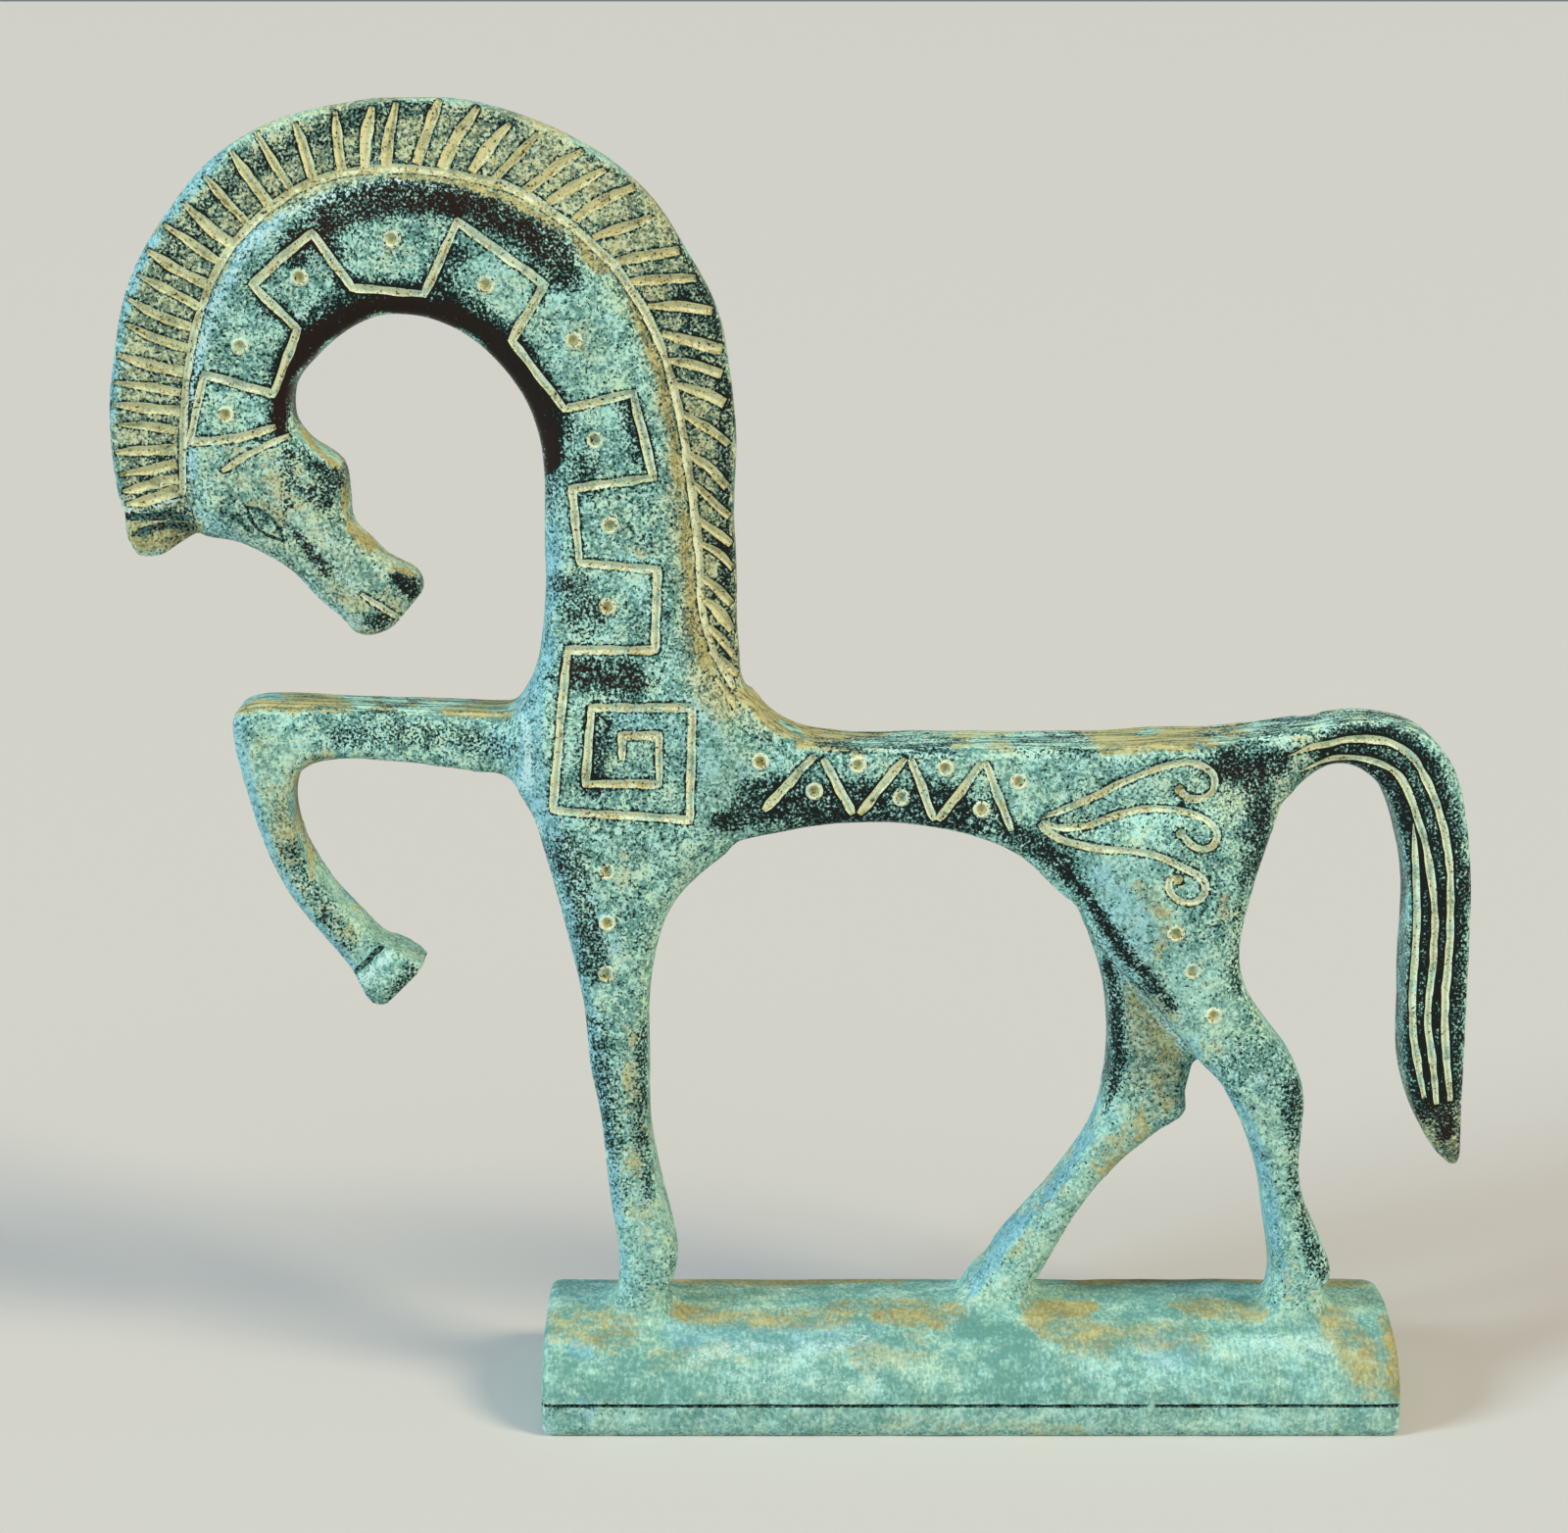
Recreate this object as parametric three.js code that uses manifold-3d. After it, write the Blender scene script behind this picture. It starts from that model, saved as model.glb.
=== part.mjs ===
// Bronze horse statuette in the Greek geometric manner, cast in one piece with its arched plinth.
// Millimetres. +X runs from the head to the tail, the decorated show side faces -Y, and +Z is up.
// The origin is the middle of the plinth's flat underside.

import * as THREE from 'three';
import { mergeVertices } from 'three/addons/utils/BufferGeometryUtils.js';
import Module from 'manifold-3d';

const wasm = await Module();
wasm.setup();

// Plinth
const PLINTH_LENGTH = 131;
const PLINTH_DEPTH = 38;
const PLINTH_EDGE_HEIGHT = 5.2;
const PLINTH_HEIGHT = 15.8;
const PLINTH_ROUNDING = 1.2;
const PLINTH_GROOVE_DEPTH = 0.7;

// Limbs have a section between a rectangle and an ellipse.
const SECTION_SIDES = 8;
const SECTION_SQUARENESS = 4.4;

// Every limb is a run of ribs. A rib crosses the limb from its front edge to its back edge:
// [front x, front z, back x, back z, thickness along Y, middle y].

// Head, from the nose back to the poll. Front is the jaw, back is the bridge of the nose.
const HEAD = [
  [-82, 128, -87, 122, 5, 0],
  [-83, 130.5, -90, 121, 8, 0],
  [-84.5, 131.5, -92.5, 121.5, 9, 0],
  [-87.5, 133, -94, 123.5, 9.5, 0],
  [-90, 135.5, -97.5, 126.5, 9.5, 0],
  [-92.5, 138, -101, 130.5, 10, 0],
  [-93, 142.5, -105.5, 133.5, 10.5, 0],
  [-93.5, 146.5, -110, 135.5, 11, 0],
  [-95.5, 148.5, -115, 136.5, 11.5, 0],
  [-98, 150, -117, 142.5, 11.5, 0],
];

// Neck, from the poll over its arch and down to the chest. Front is the throat, back is the crest.
const NECK = [
  [-100.5, 153.5, -117.5, 147, 11.5, 0],
  [-100.4, 158.2, -116.5, 159.5, 11.5, 0],
  [-98.2, 161.4, -113, 172.5, 12, 0],
  [-93.5, 165.6, -105.5, 182, 12.5, 0],
  [-88, 168.5, -94, 189, 13, 0],
  [-81.5, 168.5, -81, 190, 13, 0],
  [-75, 166, -68.5, 187, 13.5, 0],
  [-69.5, 161, -59, 181.5, 14, 0],
  [-66, 155.5, -50, 170, 14, 0],
  [-64, 148.5, -45, 159.5, 14.5, 0],
  [-64, 137, -42.5, 144, 15, 0],
  [-64, 126.5, -41, 129.5, 15.5, 0],
  [-66, 115, -38, 116.5, 16.5, 0],
];

// Chest and supporting foreleg, down to the plinth.
const SUPPORTING_FORELEG = [
  [-70.5, 107, -34, 107.5, 17.5, -0.5],
  [-69.5, 99.5, -34, 98, 17.5, -0.5],
  [-66.5, 94.5, -36, 89.5, 17, -1],
  [-64.5, 88, -40, 86, 16, -1],
  [-63, 82.5, -44.5, 81.5, 15, -1.5],
  [-61, 74.5, -47.5, 74.5, 13.5, -2],
  [-59, 65.5, -49, 65, 12.5, -2.5],
  [-58, 55, -49, 55, 11.5, -3],
  [-56.5, 46.5, -49, 45, 11, -3],
  [-55.5, 36, -47.5, 36, 11, -3],
  [-54.5, 29, -45.5, 27.5, 11.5, -3],
  [-54, 22.5, -45, 23, 12, -3],
  [-54.5, 17.5, -46.5, 18, 12, -3],
  [-55.5, 14, -45.5, 14, 13.5, -3],
  [-58.5, 9.5, -43, 9.5, 18, -3],
];

const HEAD_TO_FOOT = [...HEAD, ...NECK, ...SUPPORTING_FORELEG];

// The crescent mane, from its lower end at the poll to the withers. Front is the edge sunk in the neck.
const MANE = [
  [-115, 142, -127, 141, 9, 0],
  [-115, 147, -127.5, 146, 9, 0],
  [-114.5, 153, -128, 153, 9, 0],
  [-113.5, 160, -127, 161.5, 9, 0],
  [-111.5, 166.5, -125.5, 169.5, 9, 0],
  [-108, 173.5, -122.5, 177, 9, 0],
  [-103.5, 179.5, -117.5, 184.5, 9, 0],
  [-97.5, 184, -110.5, 192, 9, 0],
  [-91, 186.5, -101, 197, 9, 0],
  [-85, 187, -89.5, 199.5, 9, 0],
  [-78.5, 187, -78, 200, 9, 0],
  [-71.5, 185, -67, 197.5, 9.5, 0],
  [-65, 182, -57, 193, 9.5, 0],
  [-58.5, 177, -49, 187, 10, 0],
  [-54, 171.5, -43, 178.5, 10, 0],
  [-50.5, 165, -38.5, 170, 10, 0],
  [-48, 158, -36.5, 161, 10.5, 0],
  [-46, 150, -35.5, 150, 10.5, 0],
  [-45, 141, -36, 139.5, 10.5, 0],
  [-44, 132.5, -35.5, 131, 11, 0],
  [-43, 125, -35.5, 122.5, 11, 0],
  [-42, 118, -35, 116, 11, 0],
  [-40, 111, -35, 109, 11, 0],
];
const MANE_RIM_TAPER = 0.62;

// The forelock, which ends the mane below the poll.
const FORELOCK = [
  [-112, 142.5, -125.5, 143, 7, 0],
  [-113.5, 138.5, -126, 137, 7.5, 0],
  [-121, 133, -124.5, 133, 6, 0],
];

// Back and tail, from the withers to the tip of the tail. Front is the topline, back is the belly line,
// and in the tail the side towards the legs.
const BACK_AND_TAIL = [
  [-43, 111, -49.5, 86.5, 12, 0],
  [-35, 113, -40, 87.5, 13.5, 0],
  [-30.5, 108.5, -35.5, 90, 14.5, 0],
  [-25.5, 106, -30, 91.5, 15, 0],
  [-18, 105, -21, 93, 15, 0],
  [-6.5, 105, -10.5, 93, 15, 0],
  [5.5, 105, -1.5, 91.5, 15, 0],
  [17.5, 105, 7, 88, 15.5, 0],
  [27.5, 105.5, 14, 81.5, 16, 0],
  [38, 106, 21, 78, 15, 0],
  [47, 107.2, 36, 84, 14, 0],
  [52, 108, 46.2, 96.2, 12.5, 0],
  [57, 108.7, 53.5, 101.8, 11, 0],
  [62.5, 108.3, 58.5, 100.7, 10.5, 0],
  [67.5, 106.5, 62, 97, 10.5, 0],
  [72.5, 100.5, 64.5, 90, 10.5, 0],
  [75, 88.5, 66, 82.5, 10.5, 0],
  [75.6, 74.5, 66, 73, 10.5, 0],
  [75.7, 62, 66, 64, 10, 0],
  [75.6, 51, 66.3, 54.5, 9.5, 0],
  [75.7, 43, 68.8, 45.9, 8.5, 0],
  [76, 39, 71.9, 40.5, 7, 0],
  [75.6, 37.5, 74.4, 37.8, 4, 0],
];

// Near hind leg, from the rump to the plinth.
const NEAR_HIND_LEG = [
  [20, 99, 47.5, 99.5, 12, -1],
  [13.5, 90.5, 45.5, 93.5, 15.5, -1.5],
  [15, 82.5, 43.5, 87.5, 15, -2],
  [18, 75, 41.5, 80, 14, -2.5],
  [24, 68.5, 40.5, 74, 13, -2.5],
  [30, 62, 41.5, 67.5, 12, -3],
  [34.5, 56, 45.5, 61, 12, -3],
  [38, 52.5, 49, 56.5, 11.5, -3],
  [40.5, 48, 51, 51, 11.5, -3],
  [42.5, 43.5, 51, 47, 11, -3],
  [44.5, 37.5, 50.5, 40, 10.5, -3],
  [45.5, 31, 51.5, 33.5, 10.5, -3],
  [46.5, 25.5, 54.5, 26.5, 11, -3],
  [47, 21, 56, 22, 11.5, -3],
  [46.5, 18, 55, 18, 12, -3],
  [46, 14, 55.5, 14, 13.5, -3],
  [44, 9.5, 58, 9.5, 18, -3],
];

// Far hind leg, stepped back behind the near thigh and reaching forward.
const FAR_HIND_LEG = [
  [16, 81, 28.5, 83, 10, 2],
  [18, 74.5, 31, 69.5, 11.5, 2.5],
  [20.5, 66.5, 34, 61.5, 11.5, 2.5],
  [21.5, 57, 34.5, 54.5, 11, 2],
  [21, 50.5, 33.5, 49.5, 11, 2],
  [20, 45.5, 33.5, 46, 11, 2],
  [17.2, 40, 30, 43.9, 10.5, 1.5],
  [12, 32.5, 24.2, 39, 10.5, 1.5],
  [5.8, 25.5, 18.2, 32, 10.5, 1],
  [2.8, 21.3, 14, 24.8, 11, 1],
  [0.2, 19, 11.3, 19.8, 11.5, 1],
  [-1, 16, 9.5, 16.5, 12, 1],
  [-1.5, 14, 10, 14, 13.5, 1],
  [-5, 9.5, 13, 9.5, 18, 1],
];

// Raised foreleg, set back from the chest: forearm level, bent at the knee, shank hanging, then the hoof.
const RAISED_FORELEG = [
  [-58, 109.5, -58.5, 99, 12, 2],
  [-68, 109.5, -69.5, 99.6, 12, 2],
  [-85, 110, -82, 101.3, 12, 2],
  [-95, 110.4, -91.5, 102.3, 12, 2],
  [-102, 110.7, -97.5, 102, 12, 2],
  [-108.8, 110.5, -100.8, 100.6, 12, 2],
  [-111, 109, -102.4, 98.2, 12, 2],
  [-110.9, 104, -103, 94.6, 12, 2],
  [-109.3, 97, -102.4, 91, 11.5, 2],
  [-107.3, 89.5, -100.8, 86.8, 11, 2],
  [-103.9, 81.8, -97.3, 81.2, 10.5, 2],
  [-98, 73.6, -92.8, 76.4, 9.5, 2],
  [-94.7, 69.2, -89.7, 73.4, 9, 2],
  [-93.5, 67.2, -87.8, 72.6, 10.5, 2],
  [-91.7, 64.2, -84.5, 70.6, 11.5, 2],
  [-89.9, 63.2, -83.5, 69.6, 10, 2],
];

// Carving. Stations count along a limb's ribs, and a share runs from its front edge, 0, to its back edge, 1.
const SHOW_SIDE = -1;
const BACK_SIDE = 1;
const LINE_WIDTH = 1.5;
const LINE_DEPTH = 0.8;

const MANE_CUTS = { [SHOW_SIDE]: 40, [BACK_SIDE]: 16 };
const MANE_CUT_FIRST = 0.5;
const MANE_CUT_LAST = 20.6;
const MANE_CUT_INNER = 0.31;
const MANE_CUT_OUTER = 0.9;
const MANE_CUT_WIDTH = 1.9;
const MANE_CUT_DEPTH = 1.0;
// How far the outer end of a cut runs ahead of its inner end, in millimetres, at even stations of the mane.
const MANE_CUT_LEAD = [-2, 0.5, 2.5, 4.5, 5.5, 4, 3.5, 5, 5, 3.5, 3];
const MANE_LINE_SHARE = 0.99;

// The key band that steps along the neck from the poll to the chest, as [x, z] corners.
const KEY_BAND = [
  [-115.5, 150.5], [-113, 160.5], [-103, 157.5], [-99, 167], [-105.5, 173.5], [-96.5, 181], [-91, 173],
  [-80.5, 172], [-75.5, 182.5], [-63, 173.5], [-68, 165.5], [-60.5, 155.5], [-50.5, 158], [-47.5, 145.5],
  [-59.5, 144], [-58.5, 133], [-47, 132], [-47.5, 120], [-60.5, 120],
];
const KEY_BAND_CLOSE = [[-115.8, 150.5], [-108.8, 151.1], [-102.8, 152.8]];

// The square spiral on the chest, which carries the band on to its middle.
const CHEST_SPIRAL = [
  [-63, 96], [-42.5, 94.5], [-42, 111.5], [-57, 111.5], [-58, 100], [-47, 100], [-47, 107.5],
  [-52.5, 107.5], [-52.5, 104],
];

// Punched dots: one in each bay of the band, then down the foreleg and down the thigh.
const DOT_RADIUS = 1.0;
const DOT_DEPTH = 0.9;
const NECK_DOTS = [
  [-110, 154.5], [-107.5, 164.5], [-98.5, 174.5], [-85, 180], [-71.5, 173.5], [-59, 165.5], [-56, 151],
  [-54, 138.5], [-54.5, 126.5],
];
const FORELEG_DOTS = [[-55, 86.5], [-55, 78.5], [-55.2, 70.5]];
const THIGH_DOTS = [[30.3, 77], [33, 71], [36.4, 64]];

// Fine lines of the face, the forelock and the raised hoof, cut on both sides.
const FINE_LINE_WIDTH = 1.0;
const FINE_LINE_DEPTH = 0.5;
const UPPER_EYELID = [[-107.4, 141.1], [-106.1, 137.2], [-101.9, 135.9]];
const LOWER_EYELID = [[-107.9, 140.6], [-104.1, 139.4], [-102.2, 135.4]];
const FINE_LINES = [
  UPPER_EYELID,
  LOWER_EYELID,
  [[-110.8, 146.3], [-105.7, 149.3], [-100.9, 151.5]],
  [[-91.1, 127.9], [-85.6, 123.9]],
  [[-124.1, 137.9], [-117.1, 138.6]],
  [[-93.9, 69], [-90, 72.8]],
];

// The zigzag along the barrel, with a dot in each of its bays.
const ZIGZAG = [
  [-31.5, 95.5], [-23.3, 104], [-17.8, 95], [-10, 103.8], [-5.9, 94.3], [1.3, 103.3], [5.5, 92.8],
];
const BARREL_DOTS = [
  [-32, 103], [-24, 98.5], [-17.5, 102.5], [-11, 97.5], [-4.5, 102], [1, 95.7], [6.5, 100],
];

const DOTS = [...NECK_DOTS, ...FORELEG_DOTS, ...THIGH_DOTS, ...BARREL_DOTS];

// The three scrolls on the haunch spring from one point: the middle of each eye, its radius, and its bow.
// Each ends in a hook that turns round its eye and closes in on it by a share of the radius.
const SCROLL_ROOT = [9.5, 94];
const SCROLL_HOOK_TURN = Math.PI * 1.35;
const SCROLL_HOOK_CLOSING = 0.25;
const SCROLLS = [
  { eye: [32.2, 100.5], radius: 2.9, bow: 0.6 },
  { eye: [32.6, 93.2], radius: 2.9, bow: -1.2 },
  { eye: [31, 85.6], radius: 3.1, bow: -2.2 },
];

const TAIL_LINE_SHARES = { [SHOW_SIDE]: [0.24, 0.5, 0.76], [BACK_SIDE]: [0.36, 0.66] };
const TAIL_LINE_FIRST = 11.6;
const TAIL_LINE_LAST = 20.4;

// A closed mesh with its faces turned outwards, whatever the winding of the one it comes from.
function solid(geometry) {
  const bare = new THREE.BufferGeometry();
  bare.setAttribute('position', geometry.getAttribute('position'));
  bare.setIndex(geometry.getIndex());
  const merged = mergeVertices(bare, 1e-4);
  const position = merged.getAttribute('position');
  const corners = Array.from(merged.getIndex().array);
  const a = new THREE.Vector3();
  const b = new THREE.Vector3();
  const c = new THREE.Vector3();
  let volume = 0;
  for (let i = 0; i < corners.length; i += 3) {
    a.fromBufferAttribute(position, corners[i]);
    b.fromBufferAttribute(position, corners[i + 1]);
    c.fromBufferAttribute(position, corners[i + 2]);
    volume += a.dot(b.cross(c));
  }
  const flat = [];
  for (let i = 0; i < corners.length; i += 3) {
    const [p, q, r] = corners.slice(i, i + 3);
    if (p === q || q === r || r === p) continue;
    flat.push(...(volume < 0 ? [p, r, q] : [p, q, r]));
  }
  return new wasm.Manifold(new wasm.Mesh({
    numProp: 3,
    vertProperties: new Float32Array(position.array),
    triVerts: new Uint32Array(flat),
  }));
}

// Smooth curves through the ribs of a limb, read by station.
function curvesOf(ribs) {
  const last = ribs.length - 1;
  const curve = (pick) => new THREE.CatmullRomCurve3(ribs.map(pick));
  const front = curve(flat);
  const back = curve(([, , x, z]) => flat([x, z]));
  const body = ribs.map(([, , , , thickness, middle]) => [thickness, middle]);
  return {
    last,
    front: (station) => front.getPoint(station / last),
    back: (station) => back.getPoint(station / last),
    body: (station) => {
      const from = Math.min(Math.floor(station), last - 1);
      const part = station - from;
      return body[from].map((value, i) => THREE.MathUtils.lerp(value, body[from + 1][i], part));
    },
  };
}

// A point of the side view.
function flat([x, z]) {
  return new THREE.Vector3(x, 0, z);
}

// A point of a limb's side view, at a station and a share of its width.
function pointOn(limb, station, share) {
  return limb.front(station).lerp(limb.back(station), share);
}

// A limb: a cylinder whose rings take the ribs' places, with half steps between ribs where it bends.
function limbSolid(ribs, { finerFrom = 0, finerTo = 0, backTaper = 1 } = {}) {
  const limb = curvesOf(ribs);
  const stations = [];
  for (let rib = 0; rib <= limb.last; rib += 1) {
    stations.push(rib);
    if (rib >= finerFrom && rib < finerTo) stations.push(rib + 0.5);
  }
  const rings = stations.length - 1;
  const halfTurn = Math.PI / SECTION_SIDES;
  const geometry = new THREE.CylinderGeometry(1, 1, 1, SECTION_SIDES, rings, false, halfTurn);
  const position = geometry.getAttribute('position');
  const rounded = (value) => Math.sign(value) * Math.abs(value) ** (2 / SECTION_SQUARENESS);
  for (let i = 0; i < position.count; i += 1) {
    const station = stations[Math.round((0.5 - position.getY(i)) * rings)];
    const share = (rounded(position.getX(i)) + 1) / 2;
    const [thickness, middle] = limb.body(station);
    const half = (thickness / 2) * THREE.MathUtils.lerp(1, backTaper, share);
    const place = pointOn(limb, station, share);
    position.setXYZ(i, place.x, middle + rounded(position.getZ(i)) * half, place.z);
  }
  return solid(geometry);
}

// The plinth: an arched section drawn out along X, its ends slightly rounded.
function plinthSolid() {
  const inset = PLINTH_ROUNDING;
  const halfDepth = PLINTH_DEPTH / 2 - inset;
  const edge = PLINTH_EDGE_HEIGHT;
  const outline = new THREE.Shape();
  outline.moveTo(-halfDepth, inset);
  outline.lineTo(halfDepth, inset);
  outline.lineTo(halfDepth, edge);
  outline.absellipse(0, edge, halfDepth, PLINTH_HEIGHT - inset - edge, 0, Math.PI, false, 0);
  const geometry = new THREE.ExtrudeGeometry(outline, {
    depth: PLINTH_LENGTH - 2 * inset,
    curveSegments: 12,
    bevelThickness: inset,
    bevelSize: inset,
    bevelSegments: 2,
  });
  geometry.translate(0, 0, inset - PLINTH_LENGTH / 2);
  geometry.rotateX(Math.PI / 2);
  geometry.rotateZ(Math.PI / 2);
  return solid(geometry);
}

// The groove round the plinth's upright edge: two long rods and two short ones, crossing at its corners.
function plinthGroove() {
  const rods = [];
  [-1, 1].forEach((end) => {
    const across = new THREE.CylinderGeometry(PLINTH_GROOVE_DEPTH, PLINTH_GROOVE_DEPTH, PLINTH_DEPTH + 2, 4);
    across.translate(end * PLINTH_LENGTH / 2, 0, PLINTH_EDGE_HEIGHT);
    rods.push(solid(across));
    const along = new THREE.CylinderGeometry(PLINTH_GROOVE_DEPTH, PLINTH_GROOVE_DEPTH, PLINTH_LENGTH + 2, 4);
    along.rotateZ(Math.PI / 2);
    along.translate(0, end * PLINTH_DEPTH / 2, PLINTH_EDGE_HEIGHT);
    rods.push(solid(along));
  });
  return rods;
}

// A gouge: a rod of diamond section through the points, mitred at its turns, its ends full or narrowed.
function gouge(points, width, depth, ends) {
  const last = points.length - 1;
  const heading = (i) => {
    const from = points[Math.max(i, 0)];
    const to = points[Math.min(i + 1, last)];
    return new THREE.Vector2(to.x - from.x, to.z - from.z).normalize();
  };
  const geometry = new THREE.CylinderGeometry(1, 1, 1, 4, last);
  const position = geometry.getAttribute('position');
  for (let i = 0; i < position.count; i += 1) {
    const ring = Math.round((0.5 - position.getY(i)) * last);
    const before = ring === 0 ? heading(0) : heading(ring - 1);
    const after = ring === last ? before : heading(ring);
    const along = before.clone().add(after).normalize();
    const mitre = 1 / Math.max(along.dot(before), 0.5);
    const size = ring === 0 ? ends[0] : ring === last ? ends[1] : 1;
    const sideways = position.getX(i) * size * mitre * width / 2;
    const inwards = position.getZ(i) * size * depth;
    const place = points[ring];
    position.setXYZ(i, place.x - along.y * sideways, place.y + inwards, place.z + along.x * sideways);
  }
  return solid(geometry);
}

// Reads the surface height of the uncut casting, seen from well out on the show side or at the back.
function surfaceReader(casting) {
  const distance = 60;
  const mesh = new THREE.Mesh(geometryOf(casting), new THREE.MeshBasicMaterial({ side: THREE.DoubleSide }));
  const caster = new THREE.Raycaster();
  return (x, z, side) => {
    caster.set(new THREE.Vector3(x, side * distance, z), new THREE.Vector3(0, -side, 0));
    const hit = caster.intersectObject(mesh)[0];
    return hit ? new THREE.Vector3(x, hit.point.y, z) : null;
  };
}

// One cut along a line of the side view, laid on the surface.
function lineCut(points, side, surface, { width = LINE_WIDTH, depth = LINE_DEPTH, ends = [1, 1] } = {}) {
  const laid = points.map((point) => surface(point.x, point.z, side)).filter(Boolean);
  return gouge(laid, width, depth, ends);
}

// A punched dot in the show side: a shallow pit, cut by a cone half sunk in it with its point inwards.
function dotCut(x, z, surface) {
  const place = surface(x, z, SHOW_SIDE);
  if (!place) return [];
  const pit = new THREE.ConeGeometry(DOT_RADIUS * 2, DOT_DEPTH * 2, 5, 1);
  pit.translate(place.x, place.y, place.z);
  return [solid(pit)];
}

// The mane's fan of cuts and the line that parts it from the neck.
function maneCuts(side, surface) {
  const mane = curvesOf(MANE);
  const cuts = [];
  const count = MANE_CUTS[side];
  for (let i = 0; i < count; i += 1) {
    const share = i / (count - 1);
    const station = THREE.MathUtils.lerp(MANE_CUT_FIRST, MANE_CUT_LAST, share ** 1.12);
    const leadPlace = share * (MANE_CUT_LEAD.length - 1);
    const leadFrom = Math.min(Math.floor(leadPlace), MANE_CUT_LEAD.length - 2);
    const [leadBefore, leadAfter] = MANE_CUT_LEAD.slice(leadFrom);
    const lead = THREE.MathUtils.lerp(leadBefore, leadAfter, leadPlace - leadFrom);
    const inner = pointOn(mane, station, MANE_CUT_INNER);
    const outer = pointOn(mane, station, MANE_CUT_OUTER);
    const run = pointOn(mane, station + 0.2, MANE_CUT_OUTER).sub(outer).normalize();
    outer.addScaledVector(run, lead);
    cuts.push(lineCut([inner, outer], side, surface, {
      width: MANE_CUT_WIDTH,
      depth: MANE_CUT_DEPTH,
      ends: [1, 0.35],
    }));
  }
  const neck = curvesOf(NECK);
  const line = [];
  for (let station = 0; station <= 12; station += 1) {
    line.push(pointOn(neck, station, MANE_LINE_SHARE));
  }
  cuts.push(lineCut(line, side, surface));
  return cuts;
}

// The key band along the neck. Only the show side has the spiral that ends it.
function keyBandCuts(side, surface) {
  const band = side === SHOW_SIDE ? [...KEY_BAND, ...CHEST_SPIRAL] : KEY_BAND;
  return [band, KEY_BAND_CLOSE].map((corners) => lineCut(corners.map(flat), side, surface));
}

function fineCuts(side, surface) {
  const size = { width: FINE_LINE_WIDTH, depth: FINE_LINE_DEPTH };
  return FINE_LINES.map((corners) => lineCut(corners.map(flat), side, surface, size));
}

function tailCuts(side, surface) {
  const tail = curvesOf(BACK_AND_TAIL);
  const steps = 6;
  return TAIL_LINE_SHARES[side].map((share) => {
    const line = [];
    for (let i = 0; i <= steps; i += 1) {
      const station = THREE.MathUtils.lerp(TAIL_LINE_FIRST, TAIL_LINE_LAST, i / steps);
      line.push(pointOn(tail, station, share));
    }
    return lineCut(line, side, surface, { ends: [0.7, 0.7] });
  });
}

// A scroll: a bowed stem from the root, which closes in a hook round its eye.
function scrollPoints({ eye, radius, bow }) {
  const root = flat(SCROLL_ROOT);
  const top = flat([eye[0], eye[1] + radius]);
  const third = new THREE.Vector3().lerpVectors(root, top, 0.4).add(new THREE.Vector3(0, 0, bow));
  const lead = top.clone().add(new THREE.Vector3(-radius * 2.2, 0, -0.1 * radius));
  const stem = new THREE.CubicBezierCurve3(root, third, lead, top);
  const points = stem.getPoints(4);
  const turns = 4;
  for (let i = 1; i <= turns; i += 1) {
    const angle = Math.PI / 2 - (i / turns) * SCROLL_HOOK_TURN;
    const reach = radius * (1 - SCROLL_HOOK_CLOSING * (i / turns));
    points.push(flat([eye[0] + reach * Math.cos(angle), eye[1] + reach * Math.sin(angle)]));
  }
  return points;
}

// Everything that is cut only in the show side.
function showSideCuts(surface) {
  const cuts = [lineCut(ZIGZAG.map(flat), SHOW_SIDE, surface)];
  SCROLLS.forEach((scroll) => {
    cuts.push(lineCut(scrollPoints(scroll), SHOW_SIDE, surface, { ends: [0.5, 1] }));
  });
  DOTS.forEach(([x, z]) => cuts.push(...dotCut(x, z, surface)));
  return cuts;
}

function geometryOf(manifold) {
  const mesh = manifold.getMesh();
  const geometry = new THREE.BufferGeometry();
  geometry.setAttribute('position', new THREE.BufferAttribute(mesh.vertProperties, 3));
  geometry.setIndex(new THREE.BufferAttribute(mesh.triVerts, 1));
  return geometry;
}

function joined(parts) {
  return parts.reduce((whole, part) => whole.add(part));
}

const casting = joined([
  plinthSolid(),
  limbSolid(HEAD_TO_FOOT, { finerFrom: HEAD.length, finerTo: HEAD.length + NECK.length }),
  limbSolid(MANE, { backTaper: MANE_RIM_TAPER }),
  limbSolid(FORELOCK),
  limbSolid(BACK_AND_TAIL),
  limbSolid(NEAR_HIND_LEG),
  limbSolid(FAR_HIND_LEG),
  limbSolid(RAISED_FORELEG),
]);
const surface = surfaceReader(casting);
const cuts = [SHOW_SIDE, BACK_SIDE].flatMap((side) => [
  ...maneCuts(side, surface),
  ...keyBandCuts(side, surface),
  ...fineCuts(side, surface),
  ...tailCuts(side, surface),
]);
cuts.push(...showSideCuts(surface), ...plinthGroove());
const carved = casting.subtract(joined(cuts));

const bronze = new THREE.MeshStandardMaterial({ color: 0x7fb3a0, roughness: 0.75, metalness: 0.35 });
const horse = new THREE.Mesh(geometryOf(carved), bronze);
horse.name = 'horse_on_plinth';

const group = new THREE.Group();
group.add(horse);

export default group;
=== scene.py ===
"""A bronze horse statuette in the Greek geometric manner, with a worn green patina, cast with its plinth."""
import math
import random
from functools import partial

import bmesh
import bpy
import numpy as np
from mathutils import Matrix, Vector, noise
from mathutils.bvhtree import BVHTree
from mathutils.kdtree import KDTree


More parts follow.
